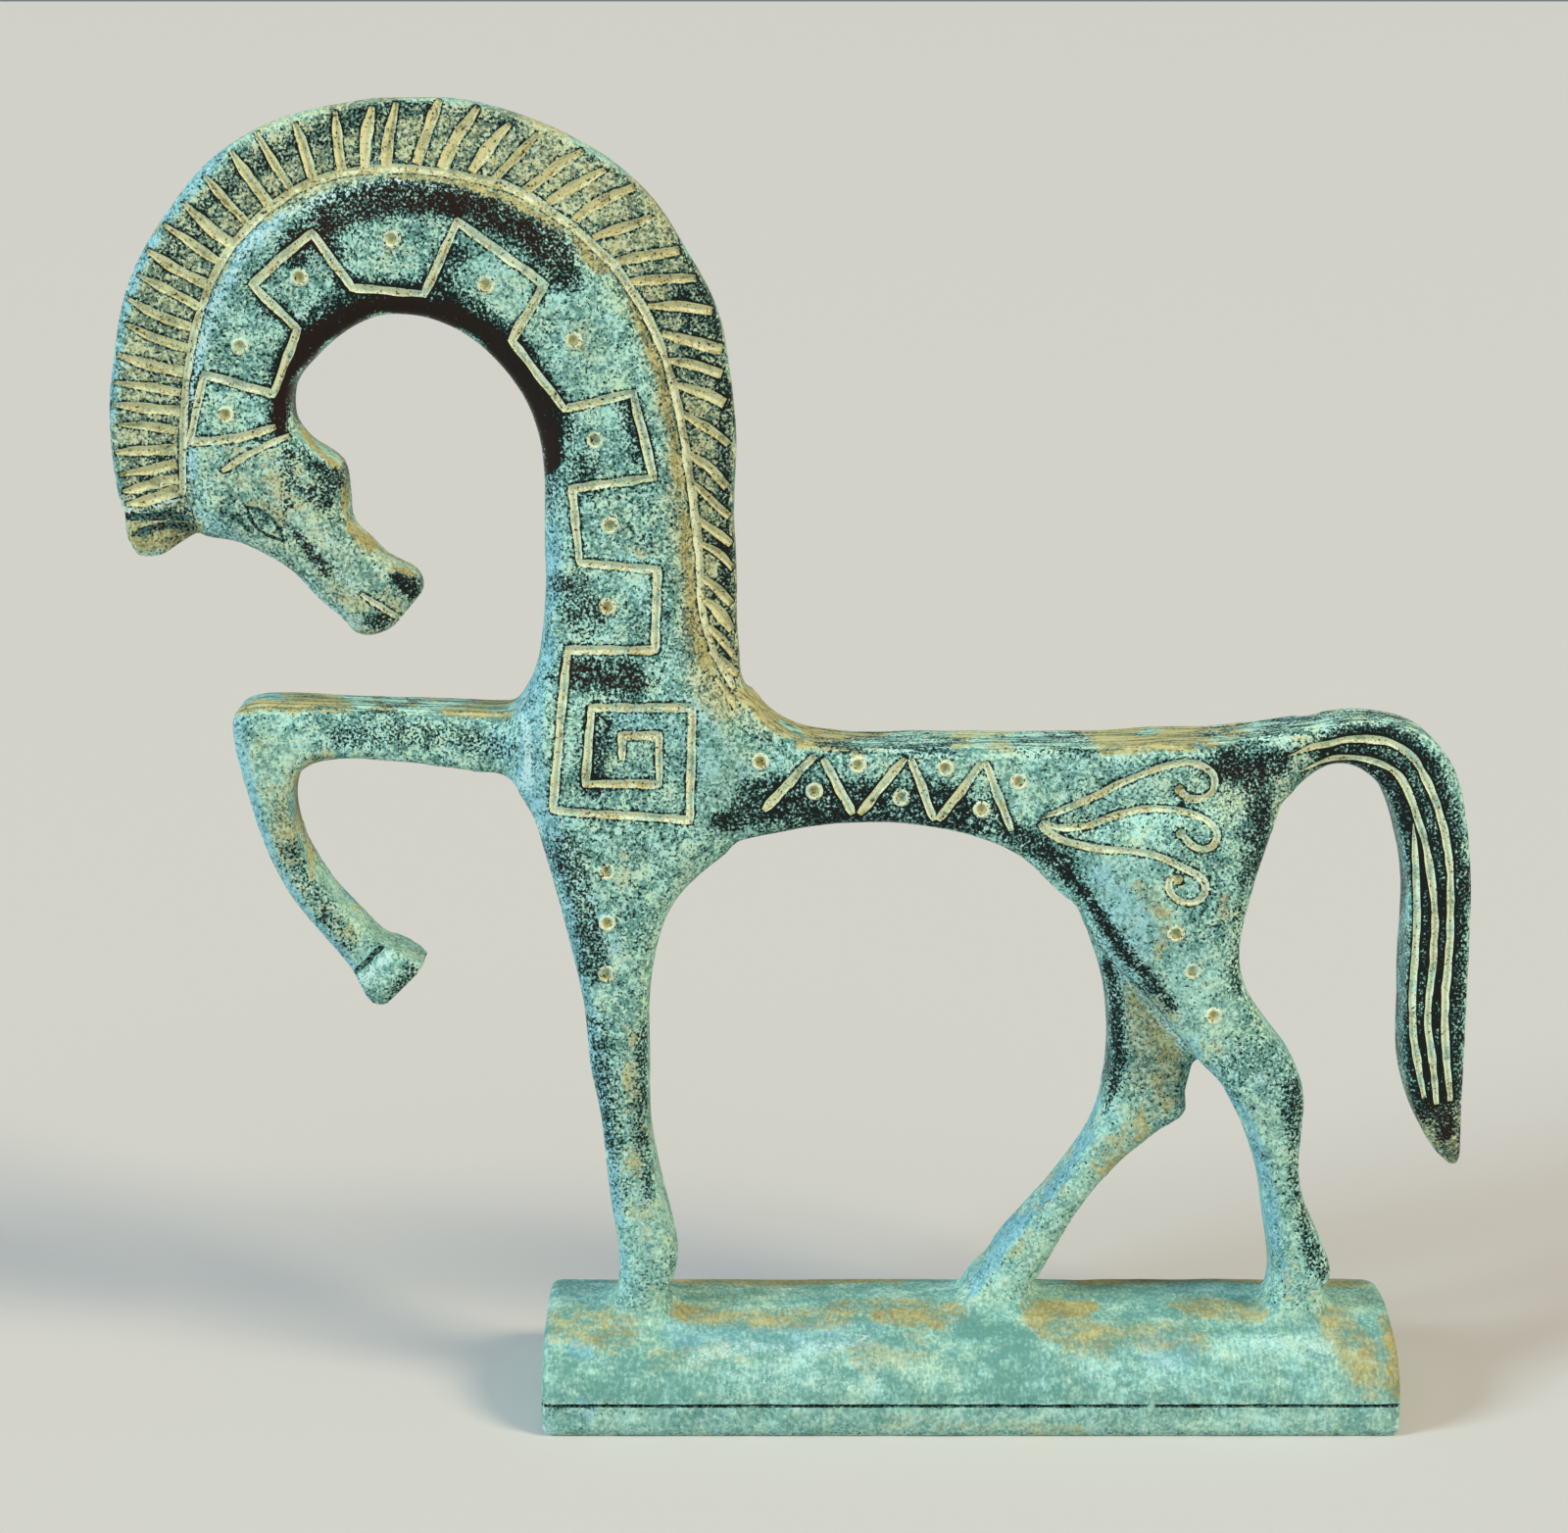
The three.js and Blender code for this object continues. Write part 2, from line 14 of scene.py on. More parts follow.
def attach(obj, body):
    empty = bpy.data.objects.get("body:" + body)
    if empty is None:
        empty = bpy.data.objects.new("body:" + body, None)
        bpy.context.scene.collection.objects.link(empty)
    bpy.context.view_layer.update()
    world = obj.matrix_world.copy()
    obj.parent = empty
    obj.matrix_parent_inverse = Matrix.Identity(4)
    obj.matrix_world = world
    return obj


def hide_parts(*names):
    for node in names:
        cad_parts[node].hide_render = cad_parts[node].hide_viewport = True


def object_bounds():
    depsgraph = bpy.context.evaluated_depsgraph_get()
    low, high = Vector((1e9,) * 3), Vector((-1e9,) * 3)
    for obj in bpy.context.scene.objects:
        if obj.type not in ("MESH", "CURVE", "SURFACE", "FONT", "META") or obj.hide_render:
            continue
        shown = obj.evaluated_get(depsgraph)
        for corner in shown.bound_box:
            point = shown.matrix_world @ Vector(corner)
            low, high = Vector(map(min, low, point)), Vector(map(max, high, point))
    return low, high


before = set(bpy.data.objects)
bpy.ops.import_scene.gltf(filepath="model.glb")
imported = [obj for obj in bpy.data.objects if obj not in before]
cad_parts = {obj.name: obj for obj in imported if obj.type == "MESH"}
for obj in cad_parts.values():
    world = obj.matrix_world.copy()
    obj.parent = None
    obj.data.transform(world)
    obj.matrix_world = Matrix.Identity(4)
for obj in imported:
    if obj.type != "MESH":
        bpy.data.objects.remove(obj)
cad_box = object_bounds()

# The casting is modelled in millimetres and scaled to metres at the end.
MILLIMETRE = 0.001

# Plinth
PLINTH_LENGTH = 131
PLINTH_DEPTH = 38
PLINTH_EDGE_HEIGHT = 5.2
PLINTH_HEIGHT = 15.8
PLINTH_ARCH_STEPS = 28
PLINTH_ROUNDING = 1.0
PLINTH_ROUNDING_STEPS = 3
# Edges that turn by more degrees than this are rounded.
PLINTH_CORNER_ANGLE = 45
PLINTH_GROOVE_WIDTH = 0.62
PLINTH_GROOVE_DEPTH = 0.6
PLINTH_GROOVE_SIDES = 6
PLINTH_GROOVE_STEP = 1.4
PLINTH_GROOVE_OVERRUN = 2
PLINTH_GROOVE_WOBBLE = 0.55
PLINTH_GROOVE_WOBBLE_RATE = 0.4
# A lump of metal that bridges the groove
PLINTH_LUMP_X = 27.4
PLINTH_LUMP_RADIUS = 0.8
PLINTH_LUMP_STRETCH = 1.35
PLINTH_LUMP_DROP = 0.2

# Limbs have a section between a rectangle and an ellipse.
SECTION_SIDES = 28
SECTION_SQUARENESS = 4.8
FLAT_SQUARENESS = 9
RINGS_PER_RIB = 4

# The grain of the mesh, and how far its joins are softened.
SKIN_GRAIN = 0.93
SLIVER = 0.02
SKIN_SMOOTHING = 1
JOIN_SMOOTHING = 14
UNEVENNESS = 0.13
UNEVENNESS_REACH = 9.0
FINE_UNEVENNESS_REACH = UNEVENNESS_REACH / 2.3
# Skin lower than this is laid flat on the underside.
UNDERSIDE_REACH = 0.35
# Edges that turn by more degrees than this are shaded sharp.
SHARP_ANGLE = 40

SHOW_SIDE = -1
BACK_SIDE = 1
# Further out along Y than any of the skin
OUTSIDE = 60
# Turns a shape that stands along Z to lie along Y.
TO_Y = Matrix.Rotation(math.pi / 2, 4, "X")

# The casting's finishes, in the order of its material slots
SKIN, CUT_FILL, DOT_FILL, DOT_BURR, DARK_LINE, MANE_FILL = range(6)

# Every limb is a run of ribs. A rib crosses the limb from its front edge to its back edge:
# (front x, front z, back x, back z, thickness along Y, middle y).
HEAD = [
    (-82, 128, -87, 122, 5, 0),
    (-83, 130.5, -90, 121, 8, 0),
    (-84.5, 131.5, -92.5, 121.5, 9, 0),
    (-87.5, 133, -94, 123.5, 9.5, 0),
    (-90, 135.5, -97.5, 126.5, 9.5, 0),
    (-92.5, 138, -101, 130.5, 10, 0),
    (-93, 142.5, -105.5, 133.5, 10.5, 0),
    (-93.5, 146.5, -110, 135.5, 11, 0),
    (-95.5, 148.5, -115, 136.5, 11.5, 0),
    (-98, 150, -117, 142.5, 11.5, 0),
]
NECK = [
    (-100.5, 153.5, -117.5, 147, 11.5, 0),
    (-100.4, 158.2, -116.5, 159.5, 11.5, 0),
    (-98.2, 161.4, -113, 172.5, 12, 0),
    (-93.5, 165.6, -105.5, 182, 12.5, 0),
    (-88, 168.5, -94, 189, 13, 0),
    (-81.5, 168.5, -81, 190, 13, 0),
    (-75, 166, -68.5, 187, 13.5, 0),
    (-69.5, 161, -59, 181.5, 14, 0),
    (-66, 155.5, -50, 170, 14, 0),
    (-64, 148.5, -45, 159.5, 14.5, 0),
    (-64, 137, -42.5, 144, 15, 0),
    (-64, 126.5, -41, 129.5, 15.5, 0),
    (-66, 115, -38, 116.5, 16.5, 0),
]
SUPPORTING_FORELEG = [
    (-70.5, 107, -34, 107.5, 17.5, -0.5),
    (-69.5, 99.5, -34, 98, 17.5, -0.5),
    (-66.5, 94.5, -36, 89.5, 17, -1),
    (-64.5, 88, -40, 86, 16, -1),
    (-63, 82.5, -44.5, 81.5, 15, -1.5),
    (-61, 74.5, -47.5, 74.5, 13.5, -2),
    (-59, 65.5, -49, 65, 12.5, -2.5),
    (-58, 55, -49, 55, 11.5, -3),
    (-56.5, 46.5, -49, 45, 11, -3),
    (-55.5, 36, -47.5, 36, 11, -3),
    (-54.5, 29, -45.5, 27.5, 11.5, -3),
    (-54, 22.5, -45, 23, 12, -3),
    (-54.5, 17.5, -46.5, 18, 12, -3),
    (-55.5, 14, -45.5, 14, 13.5, -3),
    (-58.5, 9.5, -43, 9.5, 18, -3),
]
HEAD_TO_FOOT = HEAD + NECK + SUPPORTING_FORELEG

MANE = [
    (-115, 142, -127, 141, 9, 0),
    (-115, 147, -127.5, 146, 9, 0),
    (-114.5, 153, -128, 153, 9, 0),
    (-113.5, 160, -127, 161.5, 9, 0),
    (-111.5, 166.5, -125.5, 169.5, 9, 0),
    (-108, 173.5, -122.5, 177, 9, 0),
    (-103.5, 179.5, -117.5, 184.5, 9, 0),
    (-97.5, 184, -110.5, 192, 9, 0),
    (-91, 186.5, -101, 197, 9, 0),
    (-85, 187, -89.5, 199.5, 9, 0),
    (-78.5, 187, -78, 200, 9, 0),
    (-71.5, 185, -67, 197.5, 9.5, 0),
    (-65, 182, -57, 193, 9.5, 0),
    (-58.5, 177, -49, 187, 10, 0),
    (-54, 171.5, -43, 178.5, 10, 0),
    (-50.5, 165, -38.5, 170, 10, 0),
    (-48, 158, -36.5, 161, 10.5, 0),
    (-46, 150, -35.5, 150, 10.5, 0),
    (-45, 141, -36, 139.5, 10.5, 0),
    (-44, 132.5, -35.5, 131, 11, 0),
    (-43, 125, -35.5, 122.5, 11, 0),
    (-42, 118, -35, 116, 11, 0),
    (-40, 111, -35, 109, 11, 0),
]
MANE_RIM_TAPER = 0.62

FORELOCK = [
    (-112, 142.5, -125.5, 143, 7, 0),
    (-113.5, 138.5, -126, 137, 7.5, 0),
    (-121, 133, -124.5, 133, 6, 0),
]

BACK_AND_TAIL = [
    (-43, 111, -49.5, 86.5, 12, 0),
    (-35, 113, -40, 87.5, 13.5, 0),
    (-30.5, 108.5, -35.5, 90, 14.5, 0),
    (-25.5, 106, -30, 91.5, 15, 0),
    (-18, 105, -21, 93, 15, 0),
    (-6.5, 105, -10.5, 93, 15, 0),
    (5.5, 105, -1.5, 91.5, 15, 0),
    (17.5, 105, 7, 88, 15.5, 0),
    (27.5, 105.5, 14, 81.5, 16, 0),
    (38, 106, 21, 78, 15, 0),
    (47, 107.2, 36, 84, 14, 0),
    (52, 108, 46.2, 96.2, 12.5, 0),
    (57, 108.7, 53.5, 101.8, 11, 0),
    (62.5, 108.3, 58.5, 100.7, 10.5, 0),
    (67.5, 106.5, 62, 97, 10.5, 0),
    (72.5, 100.5, 64.5, 90, 10.5, 0),
    (75, 88.5, 66, 82.5, 10.5, 0),
    (75.6, 74.5, 66, 73, 10.5, 0),
    (75.7, 62, 66, 64, 10, 0),
    (75.6, 51, 66.3, 54.5, 9.5, 0),
    (75.7, 43, 68.8, 45.9, 8.5, 0),
    (76, 39, 71.9, 40.5, 7, 0),
    (75.6, 37.5, 74.4, 37.8, 4, 0),
]

NEAR_HIND_LEG = [
    (20, 99, 47.5, 99.5, 12, -1),
    (13.5, 90.5, 45.5, 93.5, 15.5, -1.5),
    (15, 82.5, 43.5, 87.5, 15, -2),
    (18, 75, 41.5, 80, 14, -2.5),
    (24, 68.5, 40.5, 74, 13, -2.5),
    (30, 62, 41.5, 67.5, 12, -3),
    (34.5, 56, 45.5, 61, 12, -3),
    (38, 52.5, 49, 56.5, 11.5, -3),
    (40.5, 48, 51, 51, 11.5, -3),
    (42.5, 43.5, 51, 47, 11, -3),
    (44.5, 37.5, 50.5, 40, 10.5, -3),
    (45.5, 31, 51.5, 33.5, 10.5, -3),
    (46.5, 25.5, 54.5, 26.5, 11, -3),
    (47, 21, 56, 22, 11.5, -3),
    (46.5, 18, 55, 18, 12, -3),
    (46, 14, 55.5, 14, 13.5, -3),
    (44, 9.5, 58, 9.5, 18, -3),
]

FAR_HIND_LEG = [
    (16, 81, 28.5, 83, 10, 2),
    (18, 74.5, 31, 69.5, 11.5, 2.5),
    (20.5, 66.5, 34, 61.5, 11.5, 2.5),
    (21.5, 57, 34.5, 54.5, 11, 2),
    (21, 50.5, 33.5, 49.5, 11, 2),
    (20, 45.5, 33.5, 46, 11, 2),
    (17.2, 40, 30, 43.9, 10.5, 1.5),
    (12, 32.5, 24.2, 39, 10.5, 1.5),
    (5.8, 25.5, 18.2, 32, 10.5, 1),
    (2.8, 21.3, 14, 24.8, 11, 1),
    (0.2, 19, 11.3, 19.8, 11.5, 1),
    (-1, 16, 9.5, 16.5, 12, 1),
    (-1.5, 14, 10, 14, 13.5, 1),
    (-5, 9.5, 13, 9.5, 18, 1),
]

RAISED_FORELEG = [
    (-58, 109.5, -58.5, 99, 12, 2),
    (-68, 109.5, -69.5, 99.6, 12, 2),
    (-85, 110, -82, 101.3, 12, 2),
    (-95, 110.4, -91.5, 102.3, 12, 2),
    (-102, 110.7, -97.5, 102, 12, 2),
    (-108.8, 110.5, -100.8, 100.6, 12, 2),
    (-111, 109, -102.4, 98.2, 12, 2),
    (-110.9, 104, -103, 94.6, 12, 2),
    (-109.3, 97, -102.4, 91, 11.5, 2),
    (-107.3, 89.5, -100.8, 86.8, 11, 2),
    (-103.9, 81.8, -97.3, 81.2, 10.5, 2),
    (-98, 73.6, -92.8, 76.4, 9.5, 2),
    (-94.7, 69.2, -89.7, 73.4, 9, 2),
    (-93.5, 67.2, -87.8, 72.6, 10.5, 2),
    (-91.7, 64.2, -84.5, 70.6, 11.5, 2),
    (-89.9, 63.2, -83.5, 69.6, 10, 2),
]

# Where limbs run into each other or into the plinth, and how far round it the join is softened.
JOINS = [
    ((-50, -3, 14), 9), ((51, -3, 14), 9), ((4, 1, 14), 10), ((-66, 0, 104), 9), ((-40, 0, 100), 12),
    ((34, 0, 90), 9), ((52, 0, 102), 8), ((-37, 0, 112), 6), ((-103, 0, 106), 6),
]

# A cut of the chisel is a rod half sunk in the skin: how far it stands out, as a share of its depth,
# how it spreads, sways and wobbles, and how far the strokes of a corner run past it.
GOUGE_SIDES = 10
GOUGE_STEP = 1.1
GOUGE_RISE = 0.45
GOUGE_SPREAD = 1.12
GOUGE_SWAY = 0.16
GOUGE_SWAY_RATE = 0.35
GOUGE_SWAY_SEED = 5
GOUGE_WOBBLE = 0.3
GOUGE_WOBBLE_RATE = 0.45
STROKE_OVERRUN = 0.35
SEED_STEP = 3.7

# The cuts, as (width, depth)
BAND_CUT = (1.18, 0.55)
SCROLL_CUT = (1.02, 0.46)
MANE_LINE_CUT = (1.25, 0.55)
MANE_FAN_CUT = (1.42, 0.65)
FACE_CUT = (0.806, 0.34)
HOOF_CUT = (0.868, 0.34)
EYE_CUT = (0.6, 0.32)

# Their lines, as (x, z) in the side view. Each stroke between two corners of the band is a cut of its own.
KEY_BAND = [
    (-115.5, 150.5), (-113, 160.5), (-103, 157.5), (-99, 167), (-105.5, 173.5), (-96.5, 181), (-91, 173),
    (-80.5, 172), (-75.5, 182.5), (-63, 173.5), (-68, 165.5), (-60.5, 155.5), (-50.5, 158), (-47.5, 145.5),
    (-59.5, 144), (-58.5, 133), (-47, 132), (-47.5, 120), (-60.5, 120),
]
KEY_BAND_CLOSE = [(-115.8, 150.5), (-108.8, 151.1), (-102.8, 152.8)]
CHEST_SPIRAL = [
    (-63, 96), (-42.5, 94.5), (-42, 111.5), (-57, 111.5), (-58, 100), (-47, 100), (-47, 107.5),
    (-52.5, 107.5), (-52.5, 104),
]
ZIGZAG = [
    ((-31.5, 95.5), (-24, 104)), ((-22.7, 103.5), (-18.2, 95)), ((-17.3, 95), (-10.5, 103.5)),
    ((-9.6, 103.5), (-6, 94)), ((-5.5, 94), (1, 103)), ((1.5, 103), (5.5, 92.5)),
]
SCROLLS = [
    [(10, 94.5), (16, 97), (22, 100), (27, 102), (31, 103), (33.5, 102.5), (35.5, 101), (35.5, 98.7),
     (34, 97.5), (31.7, 97.5), (30.5, 98.7)],
    [(10, 94), (12, 93.1), (16.5, 93.3), (21, 95), (26, 96), (31, 95.6), (34.5, 94.4), (36, 92.5),
     (35.5, 90.6), (33.8, 90), (32, 91), (30.7, 92.5)],
    [(9.5, 93.5), (11.5, 92), (14.5, 90.6), (19, 90), (24, 89.6), (27.5, 88.9), (31, 87.3), (34, 85.5),
     (34.6, 83.6), (33, 82), (30.6, 82.2), (29, 84), (29.3, 85.6), (30.4, 85.4)],
]
TAIL_LINES = [
    [(46.5, 103.6), (51.5, 105.2), (58.5, 106), (64, 104.5), (67, 101), (69.5, 95.5), (71.5, 88),
     (72.3, 74.5), (72, 64), (72.8, 54.5), (73.5, 49)],
    [(48.5, 101.2), (52.5, 102.7), (57, 103), (61, 102), (64, 99.7), (66.5, 94), (68.3, 88), (69.8, 79),
     (69.8, 70), (69.5, 62), (70.5, 55.5), (71.5, 48.5)],
    [(66, 93), (66.7, 85), (67.2, 76), (67, 68.5), (67.4, 60), (68.6, 54), (69.6, 49.5)],
]
MANE_LINE = [
    (-117, 142.5), (-116.5, 152), (-115.5, 160.5), (-114, 167.5), (-109.5, 177.5), (-100.5, 186),
    (-93.5, 189), (-85, 190), (-75, 189), (-68, 187.2), (-61.5, 183.5), (-54, 177), (-49, 170), (-45.5, 162),
    (-43.5, 153.5), (-42, 143.5), (-41, 134.5), (-40.5, 125.5), (-39, 120), (-35.8, 113.5),
]
EYE_LINES = [
    [(-107.6, 141), (-105.4, 140.4), (-103.3, 138.6), (-102, 135.6)],
    [(-107.4, 140.9), (-106.6, 138.5), (-104.7, 136.8), (-102, 135.8)],
    [(-109.4, 139.7), (-108.3, 138.6), (-106.9, 136.9)],
]
FACE_LINES = [
    [(-110.8, 146.3), (-105.7, 149.3), (-100.9, 151.5)],
    [(-91.1, 127.9), (-87.8, 125.5), (-84.6, 123.2)],
]
FORELOCK_FOLDS = [
    [(-125.8, 139), (-121, 139.3), (-116, 138.9)],
    [(-125, 136.3), (-120, 137.8), (-115, 137.4)],
]
MOUTH_NOTCH = (-84.7, 124.2)
MOUTH_NOTCH_RADIUS = 0.6
MOUTH_NOTCH_SIDES = 12
MOUTH_NOTCH_LENGTH = 20
HOOF_LINE = [(-94.4, 68.4), (-92, 70.8), (-88.4, 74.3)]

# Punched dots
DOT_RADIUS = 0.74
DOT_DEPTH = 0.4
DOT_RIM_RADIUS = 1.02
DOT_RIM_THICKNESS = 0.38
DOT_RIM_SIDES = 20
DOT_RIM_ROUND = 8
DOT_RIM_SUNK = (0.35, 0.6)
DOT_RIM_LEAN = (-0.06, 0.06)
DOT_SEED = 5
DOTS = [
    (-110, 154.5), (-107.5, 164.5), (-98.5, 174.5), (-85, 180), (-71.5, 173.5), (-59, 165.5), (-56, 151),
    (-54, 138.5), (-54.5, 126.5), (-55, 86.5), (-55, 78.5), (-55.2, 70.5), (30.3, 77), (33, 71), (36.4, 64),
    (-32, 103), (-24, 98.5), (-17.5, 102.5), (-11, 97.5), (-4.5, 102), (1, 95.7), (6.5, 100),
]

# The fan of cuts in the mane: stations and shares are of the mane's ribs.
MANE_CUTS = {SHOW_SIDE: 45, BACK_SIDE: 34}
MANE_CUT_FIRST = 0.3
MANE_CUT_LAST = 21.2
MANE_CUT_INNER = [0.2, 0.19, 0.2, 0.22, 0.23, 0.25, 0.28, 0.31, 0.32, 0.35, 0.45]
MANE_CUT_OUTER = 0.94
MANE_CUT_START = [0.95, 0.95, 0.9, 0.6, 0.5]
MANE_CUT_END = [0.35, 0.35, 0.5, 0.85, 0.9]
MANE_CUT_LEAD = [-1.5, 0.5, 2.5, 4.0, 5.5, 4.2, 3.8, 5.0, 5.0, 3.5, 3.0]
MANE_CUT_CROWDING = 1.1
MANE_CUT_SEED = 11
MANE_CUT_NARROWING = 3
# How far each cut may differ from the even fan
MANE_CUT_SHIFT = (-0.06, 0.06)
MANE_CUT_LEAD_SHIFT = (-0.6, 0.6)
MANE_CUT_INNER_SHIFT = (-0.02, 0.03)
MANE_CUT_OUTER_SHIFT = (-0.07, 0.02)
MANE_CUT_BOW = (-0.2, 0.5)
MANE_CUT_FULLNESS = (0.8, 1.15)

# Linear colours
COOL_MINT = (0.46, 0.82, 0.76)
WARM_MINT = (0.58, 0.82, 0.60)
TEAL = (0.12, 0.30, 0.27)
DEEP_TEAL = (0.035, 0.10, 0.095)
# ICE: the pale of worn edges, also used for painted highlights.
ICE = (0.55, 0.78, 0.76)
# SKY and DEEP_SKY: blue patina, also used as painted cool light on edges that face left.
SKY = (0.34, 0.66, 0.72)
DEEP_SKY = (0.13, 0.32, 0.34)
PALE_OLIVE = (0.62, 0.68, 0.43)
DARK_OLIVE = (0.13, 0.14, 0.06)
OCHRE = (0.26, 0.22, 0.07)
FILL_OCHRE = (0.44, 0.38, 0.16)
STRAW = (0.52, 0.51, 0.25)
CREAM = (0.78, 0.86, 0.64)
OLIVE_CREAM = (0.76, 0.77, 0.48)
NEAR_BLACK = (0.008, 0.012, 0.011)
BROWN = (0.020, 0.011, 0.008)

# The patina's noises: the size in millimetres, the detail, and a shift that sets each apart.
STIPPLE = (0.4, 2.0, 0.0)
COARSE_STIPPLE = (0.9, 2.0, 31)
CLOUD = (3.0, 3.0, 57)
DRIFT = (12.0, 2.0, 91)
FLAKE = (1.0, 3.0, 43)
GRAIN = (0.3, 1.0, 13)
TONE = (0.6, 3.0, 77)
HUE = (4.5, 2.0, 67)
FILL_HUE = (2.6, 2.0, 5)
FILE_STROKES = (0.45, 1.0, 19)
WASH = (3.0, 4.0, 23)
BACK_STREAKS = (0.9, 2.0, 29)
# How some of them are drawn out along X, Y and Z, and how the file's strokes sway.
FILE_STROKE_STRETCH = (1.0, 0.35, 0.35)
FILE_STROKE_SWAY_RATE = 0.3
WASH_STRETCH = (0.6, 1.0, 1.0)
BACK_STREAK_STRETCH = (0.1, 1.0, 1.0)

# Surface: how it shines, its bump in millimetres, and the way that the walls of a cut face where painted
# light makes them palest.
SHINE = 0.12
SKIN_BUMP = 0.06
FILL_BUMP = 0.04
PAINTED_LIGHT_FACING = (0.35, 0, -0.9)

# What note_wear_and_painted_light stores for the patina
# What is stored on each vertex for the patina and how it is worn, and for the painted light and shade
WEAR_AND_PAINTED_LIGHT_NAMES = (
    "bare", "brown", "olive", "ochre", "blue", "pale", "deep", "filed", "brushed", "calm", "turn", "by_cut",
)
# A mark fades out at this many radii.
MARK_REACH = 1.6
# How far the marks stray where the skin turns away from the side view, how often, and the seed of it, as
# Blender's noise vectors otherwise change with the clock.
STRAY = 9.0
STRAY_REACH = 6.0
STRAY_SEED = 1
# How far from a cut the metal is darkened: partly bare metal beside the cut, partly painted shade.
BESIDE_CUTS = 0.95
# Above the plinth, the horse's finish takes over within this height.
PLINTH_FADE = 1.5
# The plinth's upright side below the groove is painted paler, a painted highlight, and it is filed.
PLINTH_LEDGE_HIGHLIGHT = 0.3
PLINTH_LEDGE_FILING = 0.7
# The height of the horse's back, which is brushed, and how far up and down from it the brushing goes.
BACK_HEIGHT = 107
BACK_REACH = 8

# The photographed view, with the floor, the air and the lights, in metres and degrees.
CAMERA_PLACE = (-0.0285, -0.5, 0.216)
CAMERA_TILT = 77
CAMERA_LENS = 77.96
CAMERA_SENSOR = 36
FLOOR_REACH = 40
PAPER = (0.62, 0.61, 0.59, 1)
PAPER_ROUGHNESS = 0.9
AIR = (0.9, 0.94, 1, 1)
AIR_STRENGTH = 0.22
# Each light as (name, where it comes from, strength, colour, how wide it looks)
LIGHTS = [
    ("window", (-1.0, -0.45, 0.6), 2.3, (0.7, 0.9, 1), 20),
    ("lamp", (0.9, -0.55, 0.9), 2.1, (1, 0.84, 0.58), 20),
    ("ceiling", (0.0, -0.4, 1.0), 0.6, (1, 1, 1), 60),
]

# Lines that several marks follow: the lower edge of the neck's arch, and the middle of the mane.
NECK_ARCH = [
    (-101.5, 153.5), (-101, 158), (-99, 162.5), (-95, 166.5), (-89.5, 169.5), (-83, 170), (-76.5, 169),
    (-71, 165.5), (-67, 160.5), (-63.8, 155), (-63, 149),
]
MANE_MIDDLE = [
    (-121, 158), (-118.5, 169.5), (-112.5, 180), (-103, 188), (-91.5, 193.5), (-80.5, 194.5), (-67.5, 193),
    (-56.5, 187), (-48.5, 178), (-42.5, 166.5), (-40.5, 153.5), (-39.5, 141), (-38.5, 126),
]
